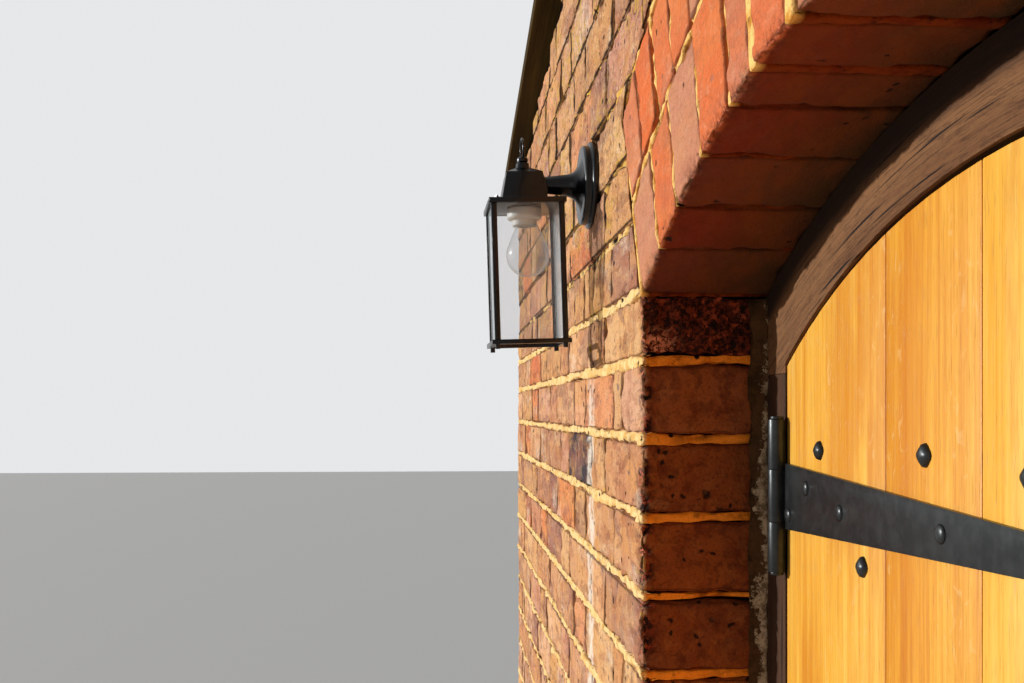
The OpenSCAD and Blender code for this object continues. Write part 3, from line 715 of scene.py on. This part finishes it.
for row in range(1, rows):
    z = course_z(row) - JOINT / 2
    if z > WALL_TOP_Z - 20 * MM:
        continue
    reach = min(CORNER_X, (WALL_TOP_Z - 14 * MM - z) / RAKE)
    high = JOINT + rng.uniform(1.0, 4.0) * MM
    for facing, y, coarse, wide in ((1, 0.0, 26, 5), (-1, WALL_T, 45, 9)):
        inner, turn = JAMB_X - 1.0 * MM, []
        if z < SPRING_Z and facing > 0:
            turn = [(inner, FRAME_Y - 2 * MM, z)]
        elif z > SPRING_Z:
            radius, rise = EXTRADOS_R + JOINT, z - ARCH_Z
            inner = math.sqrt(max(0.0, radius**2 - rise**2))
            if rise < radius * math.cos(ARCH_A):
                inner = min(inner, rise * math.tan(ARCH_A) + JOINT / 2)
        right_line = turn + [(inner, y, z), (reach, y, z)]
        lines = [[(-x, *rest) for x, *rest in right_line[::-1]], right_line]
        if inner == 0.0:
            lines = [[(-reach, y, z), (reach, y, z)]]
        for line in lines:
            if np.linalg.norm(np.subtract(line[0], line[-1])) < 30 * MM:
                continue
            line = line if facing > 0 else line[::-1]
            bed = near_beds if facing > 0 and line[0][0] < 0 else beds
            seen = bed is near_beds and row > LAST_UNSEEN
            cell, fine = (8 * MM, FINE) if seen else (coarse * MM, 0.0)
            line = bent_line(line, 1.5 * MM, cell, 2 * MM, fine, seen)
            shell(bed, line, UP, high, FINE if seen else wide * MM, 1.5 * MM, 10 * MM, rng.random(), rng,
                  soft=False)
    for side in (-1, 1) if reach == CORNER_X else ():
        line = [(side * CORNER_X, WALL_T, z), (side * CORNER_X, 0, z)][::-side]
        shell(beds, bent_line(line, 3 * MM, 20 * MM, 3 * MM), UP, high, 3.5 * MM, 3 * MM, 10 * MM,
              rng.random(), rng, soft=False)

for bed, name, *wear in ((near_bricks, "bricks_by_doorway", 1.4, 5.5, 10.0),
                         (left_bricks, "bricks_left", 1.4, 5.0, 0.0),
                         (right_bricks, "bricks_right", 1.4, 5.0, 5.0),
                         (over_bricks, "bricks_over_arch", 1.4, 5.5, 0.0),
                         (back_bricks, "bricks_inside", 0.8, 3.0, 0.0)):
    laid(bed, name, "brick", facing_clay, *wear, trim_wall)
laid(near_beds, "bed_joints_left", "mortar", bed_lime, 1.5, 3.2, 2.0, trim_wall, bed_sink)
laid(beds, "bed_joints", "mortar", bed_lime, 0.7, 2.0, 0.0, trim_wall, bed_sink)
laid(uprights, "perpend_joints", "mortar", perpend_lime, 0.6, 1.0, 0.0, trim_wall)


# The hearting: mortar behind the faces of the bricks, seen only down in the joints, and
# painted near-black there as shade by its sunk mark. It is set in a little from the wall's faces.
HEARTING_IN, HEARTING_SUNK = 8 * MM, 0.7


def hearting(name):
    """The mortar body of one node of the wall."""
    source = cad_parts[name].data
    low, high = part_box(name)
    points = [vertex.co.copy() for vertex in source.vertices]
    for p in points:
        p.y = min(max(p.y, low.y + HEARTING_IN), high.y - HEARTING_IN)
        if abs(abs(p.x) - CORNER_X) < 1 * MM:
            p.x -= math.copysign(HEARTING_IN, p.x)
        if abs(abs(p.x) - JAMB_X) < 1 * MM and p.z < SPRING_Z + 1 * MM:
            p.x += math.copysign(HEARTING_IN, p.x)
        p.z = max(p.z, 0.5 * MM)
    faces = [tuple(p.vertices) for p in source.polygons]
    made = mesh_object(name + "_hearting", points, faces, "wall", perpend_lime, False)
    note(made, "sunk", HEARTING_SUNK)
    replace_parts(made, name)


for name in ("wall_left", "wall_right", "wall_over_door"):
    hearting(name)


# The arch: two rings of red bricks on edge, turned over a timber centre, their long
# sides running into the wall so that the soffit shows them flat. Most joints are a
# few millimetres of fine mortar; two near the crown were opened to close the ring.
# Where each joint of the inner ring shows in the photograph, and its width in mm.
INNER_JOINTS = ((-ARCH_A, 4), (-0.3752, 4), (-0.3072, 3.5), (-0.2278, 3.5), (-0.1536, 4), (-0.1021, 10),
                (-0.0367, 11), (0.0332, 6), (0.1030, 4), (0.1728, 4), (0.2426, 5), (0.3124, 4), (0.3822, 4),
                (ARCH_A, 4))
OPENED_A = -0.069


def spoke(angle):
    """The ways out from the arch's centre and along its curve."""
    sine, cosine = math.sin(angle), math.cos(angle)
    return np.array((cosine, 0, -sine)), np.array((sine, 0, cosine))


def voussoirs(bed, joints, r, places, soffit, cell, rng):
    """One ring: places gives the angle of each joint and its width in millimetres."""
    centre, inside = np.array((0, 0, ARCH_Z)), np.array((0, WALL_T, 0))
    deep = np.array((0, FRAME_Y + 5 * MM, 0))
    round_in, back = 2.2 * MM, 28 * MM
    for k, ((a0, w0), (a1, w1)) in enumerate(zip(places, places[1:])):
        low_a, high_a = a0 + w0 / 2 * MM / r, a1 - w1 / 2 * MM / r
        width = (high_a - low_a) * r
        tangent, radial = spoke((low_a + high_a) / 2)
        foot = r + rng.uniform(-0.3, 1.5) * MM
        low, high = centre + radial * foot, centre + radial * (r + HALF_BRICK + 4 * MM)
        out = np.array((0, rng.uniform(-2.0, 1.5) * MM, 0))
        corners = [high + out, low + out] + ([low + deep] if soffit else [])
        line = bent_line(corners, round_in, cell, round_in, FINE if soffit else 0.0)
        flare = 0.25 + 0.75 * np.linalg.norm((line[0] - centre)[:, [0, 2]], axis=1) / r
        tone = 0.5 * (k % 2) + 0.5 * rng.random()
        shell(bed, line, tangent, width, min(cell, 4 * MM), round_in, BRICK_SKIN, tone, rng, flare=flare)
        line = bent_line([low + inside, high + inside], 3 * MM, back, 3 * MM, soft=False)
        shell(bed, line, tangent, width, back, 3 * MM, BRICK_SKIN, tone, rng, soft=False)
    for angle, width in places:
        tangent, radial = spoke(angle)
        low, high = centre + radial * (r + 1.0 * MM), centre + radial * (r + RING_T)
        line = bent_line([high, low] + ([low + deep] if soffit else []), 2 * MM, 7 * MM, 2 * MM)
        shell(joints, line, tangent, (width + 2) * MM, 3 * MM, 2 * MM, 9 * MM, rng.random(), rng, soft=False)
        line = bent_line([low + inside, high + inside], 2 * MM, back, 2 * MM, soft=False)
        shell(joints, line, tangent, (width + 4) * MM, 4 * MM, 2 * MM, 9 * MM, rng.random(), rng, soft=False)


def ring_joint(joints, r, width, rng):
    """The mortar between two rings, along the curve, on both faces of the wall."""
    for y, turn in ((0.0, 1), (WALL_T, -1)):
        angles = np.linspace(-ARCH_A, ARCH_A, 150)[::turn]
        sines, cosines, flat = np.sin(angles), np.cos(angles), np.zeros(150)
        points = np.stack([r * sines, flat + y, ARCH_Z + r * cosines], 1)
        gaps = np.linalg.norm(np.diff(points, axis=0), axis=1)
        tangents, across = np.stack([cosines, flat, -sines], 1) * turn, np.stack([sines, flat, cosines], 1)
        line = (points, tangents, np.concatenate([[0], np.cumsum(gaps)]), [])
        shell(joints, line, across, width, 3 * MM, 2 * MM, 9 * MM, rng.random(), rng)


def arch_sink(points, beside, into):
    """Arch joints: nearly flush and broken on the face, thin on the soffit, and full at the
    springing, the opened joints and the arris."""
    broken = lumps(points, (1, 30, 31), (0.6, 9, 32))
    under = eased_step(into, 2 * MM, 9 * MM) * (beside < 20 * MM)
    angle = np.arctan2(points[:, 0], points[:, 2] - ARCH_Z)
    full = np.maximum(eased_step(abs(angle), ARCH_A - 0.014, ARCH_A - 0.007),
                      eased_step(abs(angle - OPENED_A), 0.050, 0.042))
    full = np.maximum(full, 0.8 * eased_step(into, 16 * MM, 8 * MM) * eased_step(beside, 16 * MM, 8 * MM))
    depth = 1.6 + 2.4 * broken + under * (1.0 + 1.6 * broken)
    return np.clip(depth * (1 - 0.95 * full), -1.5, 6) * MM


rng = np.random.default_rng(77)
inner_ring, outer_ring, arch_joints = Bed(), Bed(), Bed()
outer_angles = np.linspace(-ARCH_A, ARCH_A, 17)
outer_angles[1:-1] += rng.uniform(-0.25, 0.25, 15) * math.radians(1)
voussoirs(inner_ring, arch_joints, ARCH_R, INNER_JOINTS, True, 5 * MM, rng)
voussoirs(outer_ring, arch_joints, ARCH_R + RING_T, [(a, rng.uniform(3.5, 6.5)) for a in outer_angles],
          False, 6 * MM, rng)
ring_joint(arch_joints, ARCH_R + RING_T - 2 * MM, 7 * MM, rng)
ring_joint(arch_joints, EXTRADOS_R - 1 * MM, 10 * MM, rng)
made = laid(inner_ring, "voussoirs_inner", "arch_brick", arch_clay, 0.7, 3.5, 2.4)
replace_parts(made, "arch_inner_ring")
made = laid(outer_ring, "voussoirs_outer", "arch_brick", arch_clay, 0.6, 3.5, 0.0)
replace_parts(made, "arch_outer_ring")
# Its last colour is the painted shade on the soffit's joints.
arch_lime = lime("lime_arch_joint", "#FFD07C", "#D8943A", 0.7, "#7C4012")
laid(arch_joints, "arch_joints", "mortar", arch_lime, 0.6, 1.5, 0.0, None, arch_sink)


# The hearting of the arch: one curved block of mortar between and behind its bricks,
# painted near-black as shade, like the wall's.
steps = 64
near, far = HEARTING_IN, WALL_T - HEARTING_IN
profile = ((ARCH_R + 8 * MM, near), (EXTRADOS_R, near), (EXTRADOS_R, far), (ARCH_R + 8 * MM, far))
points = [(r * math.sin(a), y, ARCH_Z + r * math.cos(a))
          for a in np.linspace(-ARCH_A, ARCH_A, steps + 1) for r, y in profile]
faces = [(4 * k + (c + 1) % 4, 4 * k + c, 4 * k + 4 + c, 4 * k + 4 + (c + 1) % 4)
         for k in range(steps) for c in range(4)]
faces += [(0, 1, 2, 3), tuple(4 * steps + c for c in (3, 2, 1, 0))]
made = mesh_object("arch_hearting", points, faces, "wall", perpend_lime)
note(made, "sunk", HEARTING_SUNK)


# The threshold: one block of sandstone laid a course high, its nosing worn round.
def eased(name, width, surface, body, segments=2, angle=30):
    """A copy of a node that stands for it, with its arrises rounded over as a joiner, a
    mason or a smith eases them, so that each catches the light."""
    shape = bmesh.new()
    shape.from_mesh(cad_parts[name].data)
    bmesh.ops.remove_doubles(shape, verts=shape.verts, dist=0.005 * MM)
    bmesh.ops.dissolve_limit(shape, angle_limit=math.radians(0.4), verts=shape.verts, edges=shape.edges)
    sharp = [e for e in shape.edges if len(e.link_faces) == 2 and e.calc_face_angle(0) > math.radians(angle)]
    bmesh.ops.bevel(shape, geom=sharp, offset=width * MM, segments=segments, profile=0.5,
                    affect="EDGES", clamp_overlap=True)
    for face in shape.faces:
        face.smooth = True
    for edge in shape.edges:
        edge.smooth = len(edge.link_faces) == 2 and edge.calc_face_angle(0) < math.radians(35)
    mesh = bpy.data.meshes.new(name + "_eased")
    shape.to_mesh(mesh)
    shape.free()
    made = placed(name + "_eased", mesh, body, surface)
    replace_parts(made, name)
    return made


# Its bedding shows as soft bands 25 mm apart, and its grains, drawn at 2 mm so that they
# show, keep it matt.
sandstone, tree = material("worn_sandstone")
at = add(tree, "TexCoord").outputs["Object"]
bands = add(tree, "TexNoise", add(tree, "Mapping", at, Scale=(6, 6, 40)), 1.0, 6)
grains = add(tree, "TexNoise", at, 500)
colour = add(tree, "ValToRGB", bands, stops=[(0.3, "#8F8672"), (0.5, "#A69B84"), (0.7, "#B8AC92")])
colour = tinted(tree, colour, "#6A604E", 0.4, (grains, 0.55, 0.7))
finish(tree, grains, 0.8 * MM, 0.6, Base_Color=colour, Roughness=0.85)
eased("threshold", 3, sandstone, "wall", 3)


# Timber. The grain runs along each piece, so every piece carries its own grain space:
# across the board, through it and along it, in metres, shifted for each board.
def grained(made, run, shift, tone):
    """Stores the grain space of a piece whose fibres follow the direction run."""
    run = Vector(run).normalized()
    side = run.cross(Vector((0, 1, 0)))
    side = side.normalized() if side.length > 0.1 else Vector((1, 0, 0))
    depth = run.cross(side)
    values = []
    for vertex in made.data.vertices:
        values += [vertex.co.dot(side) + shift, vertex.co.dot(depth), vertex.co.dot(run) + 3 * shift]
    made.data.attributes.new("grain", "FLOAT_VECTOR", "POINT").data.foreach_set("vector", values)
    note(made, "tone", tone)


def timber(name, stops, pore, rough, fleck=0.0, weather=0.0, sheen=0.35, curved=False):
    """Sawn and planed timber: growth rings drawn out along the grain, open pores and rays.
    Patterns are counted to the metre across, through and along the grain: rings 10 mm apart,
    fine fibres of 2 mm, and pores of 0.7 mm, twice their real size so that they show."""
    made, tree = material(name)
    grain = add(tree, "Attribute", attribute_name="grain").outputs["Vector"]
    tone = add(tree, "Attribute", attribute_name="tone").outputs["Fac"]
    x, y, z = add(tree, "SeparateXYZ", add(tree, "TexCoord").outputs["Object"]).outputs
    if curved:
        z = add(tree, "Math", z, ARCH_Z, operation="SUBTRACT")
        radius = add(tree, "Math", x, x, within(tree, z, z), operation="MULTIPLY_ADD")
        radius = add(tree, "Math", radius, operation="SQRT")
        angle = add(tree, "Math", x, z, operation="ARCTAN2")
        grain = add(tree, "CombineXYZ", radius, y, within(tree, angle, ARCH_R))

    def fibres(per_metre, detail=5, rough=0.55, twist=0.0):
        """Noise drawn out along the grain."""
        drawn = add(tree, "Mapping", grain, Scale=per_metre)
        return add(tree, "TexNoise", drawn, 1.0, detail, rough, Distortion=twist)

    fine, broad = fibres((520, 300, 9), 3), fibres((16, 10, 1.1), 3)
    rings = fibres((95, 60, 2.2), 4, 0.5, 0.6)
    rings = add(tree, "Math", rings, 0.65, within(tree, broad, 0.35), operation="MULTIPLY_ADD")
    rings = add(tree, "Math", fine, 0.45, rings, operation="MULTIPLY_ADD")
    lighter = add(tree, "Math", tone, 0.4, -0.32, operation="MULTIPLY_ADD")
    rings = add(tree, "Math", rings, lighter, operation="ADD")
    pores = within(tree, (fibres((1500, 900, 42), 1), 0.62, 0.74))
    colour = tinted(tree, add(tree, "ValToRGB", rings, stops=stops), pore, 0.55, pores)
    if fleck:
        colour = tinted(tree, colour, "#CC7614", 0.55, (fibres((11, 9, 1.6), 6, 0.62), 0.48, 0.60))
        rays = fibres((150, 90, 60), 2, 0.5, 1.2)
        colour = tinted(tree, colour, "#E9BE78", fleck, (rays, 0.60, 0.68), (broad, 0.48, 0.60))
    if weather:
        patch = fibres((28, 28, 15), 8, 0.78)
        cracks = within(tree, (fibres((240, 200, 5), 2), 0.64, 0.72))
        for tint, amount, mask in (
                ("#7C5636", weather, (patch, 0.47, 0.60)),
                ("#553520", 0.6, (fibres((330, 260, 70), 6, 0.8), 0.52, 0.60)),
                ("#3A2414", 0.5, (fibres((700, 300, 11), 4, 0.6), 0.53, 0.60)),
                ("#17100B", 1.0, cracks)):
            colour = tinted(tree, colour, tint, amount, mask)
        pores = add(tree, "Math", pores, cracks, operation="ADD")
        # Painted shade, over patchy weathering: the head darkens close under the arch, the posts all over,
        # and both in the corner by the leaf.
        shade_and_grime = within(tree, (radius, ARCH_R - 38 * MM, ARCH_R - 8 * MM)) if curved else 0.45
        shade_and_grime = add(tree, "Math", patch, 0.6, shade_and_grime, operation="MULTIPLY_ADD")
        corner_shade = within(tree, (y, FRAME_Y + 2.2 * MM, FRAME_Y + 4.5 * MM))
        shade_and_grime = add(tree, "Math", within(tree, (shade_and_grime, 0.45, 1.1)), corner_shade, operation="MAXIMUM")
        colour = tinted(tree, colour, "#1E130B", 0.88, shade_and_grime)
    height = add(tree, "Math", within(tree, fine, 0.6), pores, operation="SUBTRACT")
    finish(tree, height, 0.5 * MM, 0.5, Base_Color=colour, Roughness=rough, Specular_IOR_Level=sheen)
    return made


# The leaf: five new oak boards, planed and oiled, with fine open joints, nailed to
# three ledges and braced from the hinge side up. Oil brings out a honey colour.
leaf_oak = timber("oiled_oak", [
    (0.24, "#BC6E14"), (0.40, "#D68A22"), (0.55, "#E6A030"), (0.70, "#F0B444"), (0.86, "#F6C45C")],
    "#96540F", 0.42, fleck=0.4)
rng = np.random.default_rng(5)
for k, tone in enumerate((0.55, 0.3, 0.9, 0.4, 0.65)):
    made = eased(f"door_board_{k + 1}", 1.2, leaf_oak, "door")
    grained(made, (0, 0, 1), rng.uniform(0, 9), tone)
grained(eased("ledges", 4, leaf_oak, "door"), (1, 0, 0), 4.1, 0.5)
grained(eased("braces", 3, leaf_oak, "door"), (0.72, 0, 0.69), 6.3, 0.4)


# The door frame: old weathered oak, brown, with painted shade on it: the posts are
# painted darker all over in patches, the head dark close under the arch, and both
# dark in the corner by the leaf.
frame_browns = [(0.28, "#42291A"), (0.46, "#5C3A22"), (0.62, "#704A2C"), (0.82, "#805836")]
frame_oak = timber("weathered_shaded_post_oak", frame_browns, "#2A1A0E", 0.8, weather=0.4, sheen=0.2)
head_oak = timber("shaded_head_oak", frame_browns, "#2A1A0E", 0.8, weather=0.4, sheen=0.2, curved=True)
for name, tone in (("frame_post_left", 0.1), ("frame_post_right", 0.15)):
    grained(eased(name, 1.2, frame_oak, "wall"), (0, 0, 1), rng.uniform(0, 9), tone)
note(eased("frame_head", 0.7, head_oak, "wall"), "tone", 0.85)


# Pointing between the frame and the brick: a fillet trowelled into the angle, dark and
# broken on the brick, with a paler ragged lip left standing against the timber.
fillet_lime, tree = material("ragged_pointing")
at = add(tree, "TexCoord").outputs["Object"]
_, y, z = add(tree, "SeparateXYZ", at).outputs
lip, crumbs = add(tree, "TexNoise", at, 38, 9, 0.78), add(tree, "TexNoise", at, 130, 8, 0.78)
lip_y = add(tree, "Math", lip, 0.06, y, operation="MULTIPLY_ADD")
lip_y = add(tree, "Math", within(tree, (z, 1.70, 1.84)), -0.006, lip_y, operation="MULTIPLY_ADD")
pale = tinted(tree, "#C4A683", "#6E563C", 1.0, (crumbs, 0.42, 0.62))
brown = tinted(tree, "#5A3C22", "#38240F", 1.0, (lip, 0.40, 0.62))
colour = tinted(tree, brown, pale, 1.0, (lip_y, 0.1435, 0.1455))
finish(tree, crumbs, 1.5 * MM, Base_Color=colour, Roughness=0.95, Specular_IOR_Level=0.1)
fillet_low, fillet_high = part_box("mortar_fillets")
pointing = Bed()
for side in (-1, 1):
    brick_edge = np.array((side * (JAMB_X - 0.5 * MM), HALF_BRICK + 1 * MM, 0))
    frame_edge = np.array((side * (JAMB_X - 12 * MM), FRAME_Y, 0))
    across = (frame_edge - brick_edge) * -side
    high = np.linalg.norm(across)
    middle = (brick_edge + frame_edge) / 2
    line = [middle + (0, 0, fillet_high.z - 1 * MM), middle + (0, 0, fillet_low.z + 1 * MM)]
    shell(pointing, bent_line(line, 2 * MM, 6 * MM, 2 * MM), across / high, high - 1 * MM, 3.5 * MM,
          2 * MM, 7 * MM, 0.5, rng)
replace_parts(laid(pointing, "ragged_fillets", "mortar", fillet_lime, 0.9, 3.5, 0.0), "mortar_fillets")


# Strap hinges and handle: forged iron straps with their eyes rolled round a pin, black
# waxed. The forge leaves a soft orange-peel face, and handling wears the arrises round.
wrought_iron, tree = material("black_waxed_iron")
peel = add(tree, "TexNoise", add(tree, "TexCoord").outputs["Object"], 90, 4, 0.6)
tint = tinted(tree, "#2A2D2D", "#3A3D3C", 1.0, (peel, 0.35, 0.7))
gloss = add(tree, "MapRange", peel, To_Min=0.30, To_Max=0.40)
finish(tree, peel, 0.3 * MM, 0.15, Base_Color=tint, Metallic=0.55, Roughness=gloss)
for name, width, body, segments in (
        ("strap_hinges", 0.9, "door", 3), ("hinge_plates", 0.7, "wall", 3), ("hinge_pins", 0.7, "wall", 3),
        ("handle_rose", 0.8, "door", 3), ("handle_ring", 0.5, "door", 2)):
    eased(name, width, wrought_iron, body, segments)


# Nails and screws: rose-headed nails clenched through boards and ledges, each struck a
# little differently, and domed screws in the straps, all of black waxed iron.
def turned(profile, steps, seat, out, twist=0.0, facets=0.0):
    """A profile of (radius, height) in mm, turned about an axis that points out from its seat."""
    out = Vector(out).normalized()
    side = out.orthogonal().normalized()
    other = out.cross(side)
    points, faces = [], []
    for radius, height in profile:
        for k in range(steps):
            a = 2 * math.pi * k / steps + twist
            r = radius * MM * (1 - facets * 0.5 * (1 + math.cos(4 * a)))
            points.append(Vector(seat) + (side * math.cos(a) + other * math.sin(a)) * r + out * height * MM)
    for ring in range(len(profile) - 1):
        for k in range(steps):
            a, b = ring * steps + k, ring * steps + (k + 1) % steps
            faces.append((a, b, b + steps, a + steps))
    faces.append(tuple(range(steps))[::-1])
    faces.append(tuple(range((len(profile) - 1) * steps, len(profile) * steps)))
    return points, faces


def turned_pieces(name, parts, body, surface, smooth=True):
    """Several turned parts as one piece."""
    points, faces = [], []
    for more_points, more_faces in parts:
        faces += [tuple(k + len(points) for k in face) for face in more_faces]
        points += more_points
    mesh_object(name, points, faces, body, surface, smooth)


# Places on the leaf are millimetres from its hinge side and from a ledge's middle.
leaf_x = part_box("door_board_1")[0].x
ledge_low, ledge_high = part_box("ledges")
LEDGE_H = 125 * MM
ledge_middles = (ledge_low.z + LEDGE_H / 2, 1000 * MM, ledge_high.z - LEDGE_H / 2)
SEAMS = (0, 210, 342, 482, 600, 800)
SEEN_NAILS = {210: [(83, 44), (172, -39)], 342: [(272, 48)], 800: [(655, 41), (762, -40)]}
NAIL = ((8.2, -0.5), (8.2, 0.6), (7.4, 2.6), (5.2, 4.2), (2.4, 5.0), (0.4, 5.2))
SCREW = ((6.5, -0.3), (6.4, 0.6), (5.2, 1.7), (3.2, 2.4), (1.4, 2.6), (0.3, 2.5))
SCREW_PLACES = ((16, -16), (60, 11), (135, -2.5), (300, 0.5), (420, 0))
parts = []
for z in ledge_middles:
    for low, high in zip(SEAMS, SEAMS[1:]):
        guessed = [((low + high) / 2 + rng.uniform(-18, 18), rng.uniform(38, 46))]
        for u, dz in SEEN_NAILS.get(high, guessed):
            seat = (leaf_x + u * MM, FRAME_Y, z + dz * MM)
            out = (rng.uniform(-0.06, 0.06), -1, rng.uniform(-0.06, 0.06))
            parts.append(turned(NAIL, 18, seat, out, rng.uniform(0, 6), 0.16))
turned_pieces("rose_nails", parts, "door", wrought_iron)
parts = [turned(SCREW, 20, (leaf_x + u * MM, FRAME_Y - 4 * MM, z + dz * MM), (0, -1, 0))
         for z in ledge_middles[::2] for u, dz in SCREW_PLACES]
turned_pieces("strap_screws", parts, "door", wrought_iron)


# The lantern: black enamelled metal, four clear panes in angle-iron corners, open
# below, with a clear bulb hanging from a pale grey lampholder.
# The enamel is stoved on, so it is smooth, mirrors what is pale around it, and holds a
# little dust.
enamel, tree = material("black_gloss_enamel")
at = add(tree, "TexCoord").outputs["Object"]
colour = tinted(tree, "#06090D", "#2C3034", 0.12, (add(tree, "TexNoise", at, 60, 6, 0.7), 0.55, 0.75))
finish(tree, add(tree, "TexNoise", at, 240), 0.3 * MM, 0.12, Base_Color=colour, Roughness=0.26,
       Specular_IOR_Level=0.36, Coat_Weight=0.16, Coat_Roughness=0.06)
for name, width in (("lantern_backplate", 0.8), ("lantern_arm", 0.4), ("lantern_roof", 0.8),
                    ("lantern_ring", 0.2), ("lantern_rim", 0.8), ("lantern_posts", 0.4),
                    ("lantern_base_frame", 0.6)):
    eased(name, width, enamel, "wall", 3)


def glass(name, roughness, least):
    """Thin clear glass: seen through where it faces the eye; on the slant its pale colour turns opaque, a
    painted reflection over the real one.
    """
    made, tree = material(name)
    # Painted reflection: the pale base colour grows opaque where the glass is seen on the slant.
    slant = add(tree, "LayerWeight", Blend=0.5).outputs["Facing"]
    slant = add(tree, "Math", slant, 3.0, operation="POWER")
    cover = add(tree, "Math", slant, 0.9 - least, least, operation="MULTIPLY_ADD", use_clamp=True)
    finish(tree, Base_Color="#CDD4D6", Roughness=roughness, Specular_IOR_Level=1.0, Alpha=cover)
    return made


eased("lantern_glass", 0.2, glass("drawn_window_glass", 0.04, 0.07), "wall", 1)
eased("lantern_bulb", 0.2, glass("blown_bulb_glass", 0.25, 0.16), "wall", 1)

# The lantern hangs a little askew: its nuts and filament are placed in mm on its own axes.
hung = (Matrix.Translation((-0.785, -0.0878, 2.05)) @ Matrix.Rotation(math.radians(1.5), 4, "Z")
        @ Matrix.Rotation(math.radians(1.8), 4, "X"))
sprung, _, upright = (hung.to_3x3() @ Vector(axis) for axis in ((1, 0, 0), (0, 1, 0), (0, 0, 1)))
NUT = ((3.4, 0), (3.4, 2.4), (1.5, 2.6), (1.5, 4.4), (0.4, 4.8))
parts = [turned(NUT, 6, hung @ (Vector((x, y, -24.2)) * MM), upright, x)
         for x in (-36.5, 36.5) for y in (-36.5, 36.5)]
turned_pieces("rim_nuts", parts, "wall", enamel, False)

# The filament hangs between two stiff supports of drawn nickel wire, which is smooth
# and shines brown in the glass.
wire, tree = material("drawn_nickel_wire")
finish(tree, Base_Color="#8C7A5A", Metallic=1.0, Roughness=0.3)
parts = [turned(profile, 8, hung @ (Vector(place) * MM), out) for profile, place, out in (
    (((0.4, 0), (0.4, 31)), (-1.6, 3, -90), upright), (((0.4, 0), (0.4, 31)), (1.6, 3, -90), upright),
    (((0.5, 0), (0.5, 3.4)), (-1.7, 3, -89.5), sprung))]
turned_pieces("bulb_filament", parts, "wall", wire)

# The lampholder is moulded in thermoset plastic, which is smooth and half matt.
thermoset, tree = material("pale_grey_thermoset")
finish(tree, Base_Color="#D6D6D0", Roughness=0.5)
eased("lantern_lampholder", 1.0, thermoset, "wall", 3)


# The verge: softwood roof boards laid from a ridge board to rafters inside the wall,
# oversailing its face. Their undersides, seen from the door, are stained dark and
# weathered; the rafters and the ridge board are plain sawn timber. Sheet lead, dulled
# by the weather, is dressed down over the boards.
verge_stain = timber("stained_verge_board", [
    (0.3, "#33260C"), (0.5, "#473514"), (0.7, "#57431A"), (0.85, "#675224")], "#1A1206", 0.8, sheen=0.05)
sawn_pine = timber("sawn_softwood", [
    (0.3, "#8A6642"), (0.5, "#A37B50"), (0.7, "#B58D60"), (0.85, "#C4A074")], "#5A3F26", 0.75)
sheet_lead, tree = material("weathered_sheet_lead")
bloom = add(tree, "TexNoise", add(tree, "TexCoord").outputs["Object"], 9, 8, 0.65)
colour = add(tree, "ValToRGB", bloom, stops=[(0.3, "#5C6164"), (0.5, "#73787A"), (0.7, "#8E9293")])
finish(tree, bloom, 2 * MM, 0.4, Base_Color=colour, Metallic=0.35, Roughness=0.62)
for name, width, surface, slot_name, run in (
        ("roof_boards_left", 2.0, verge_stain, "verge_timber", (1, 0, RAKE)),
        ("rafter_left", 1.0, sawn_pine, "roof_timber", (1, 0, RAKE)),
        ("roof_boards_right", 2.0, verge_stain, "verge_timber", (1, 0, -RAKE)),
        ("rafter_right", 1.0, sawn_pine, "roof_timber", (1, 0, -RAKE)),
        ("ridge_board", 1.0, sawn_pine, "roof_timber", (0, 1, 0))):
    grained(eased(name, width, surface, "wall"), run, rng.uniform(0, 9), rng.random())
for side in ("left", "right"):
    eased(f"roof_lead_{side}", 1.5, sheet_lead, "wall", 3)
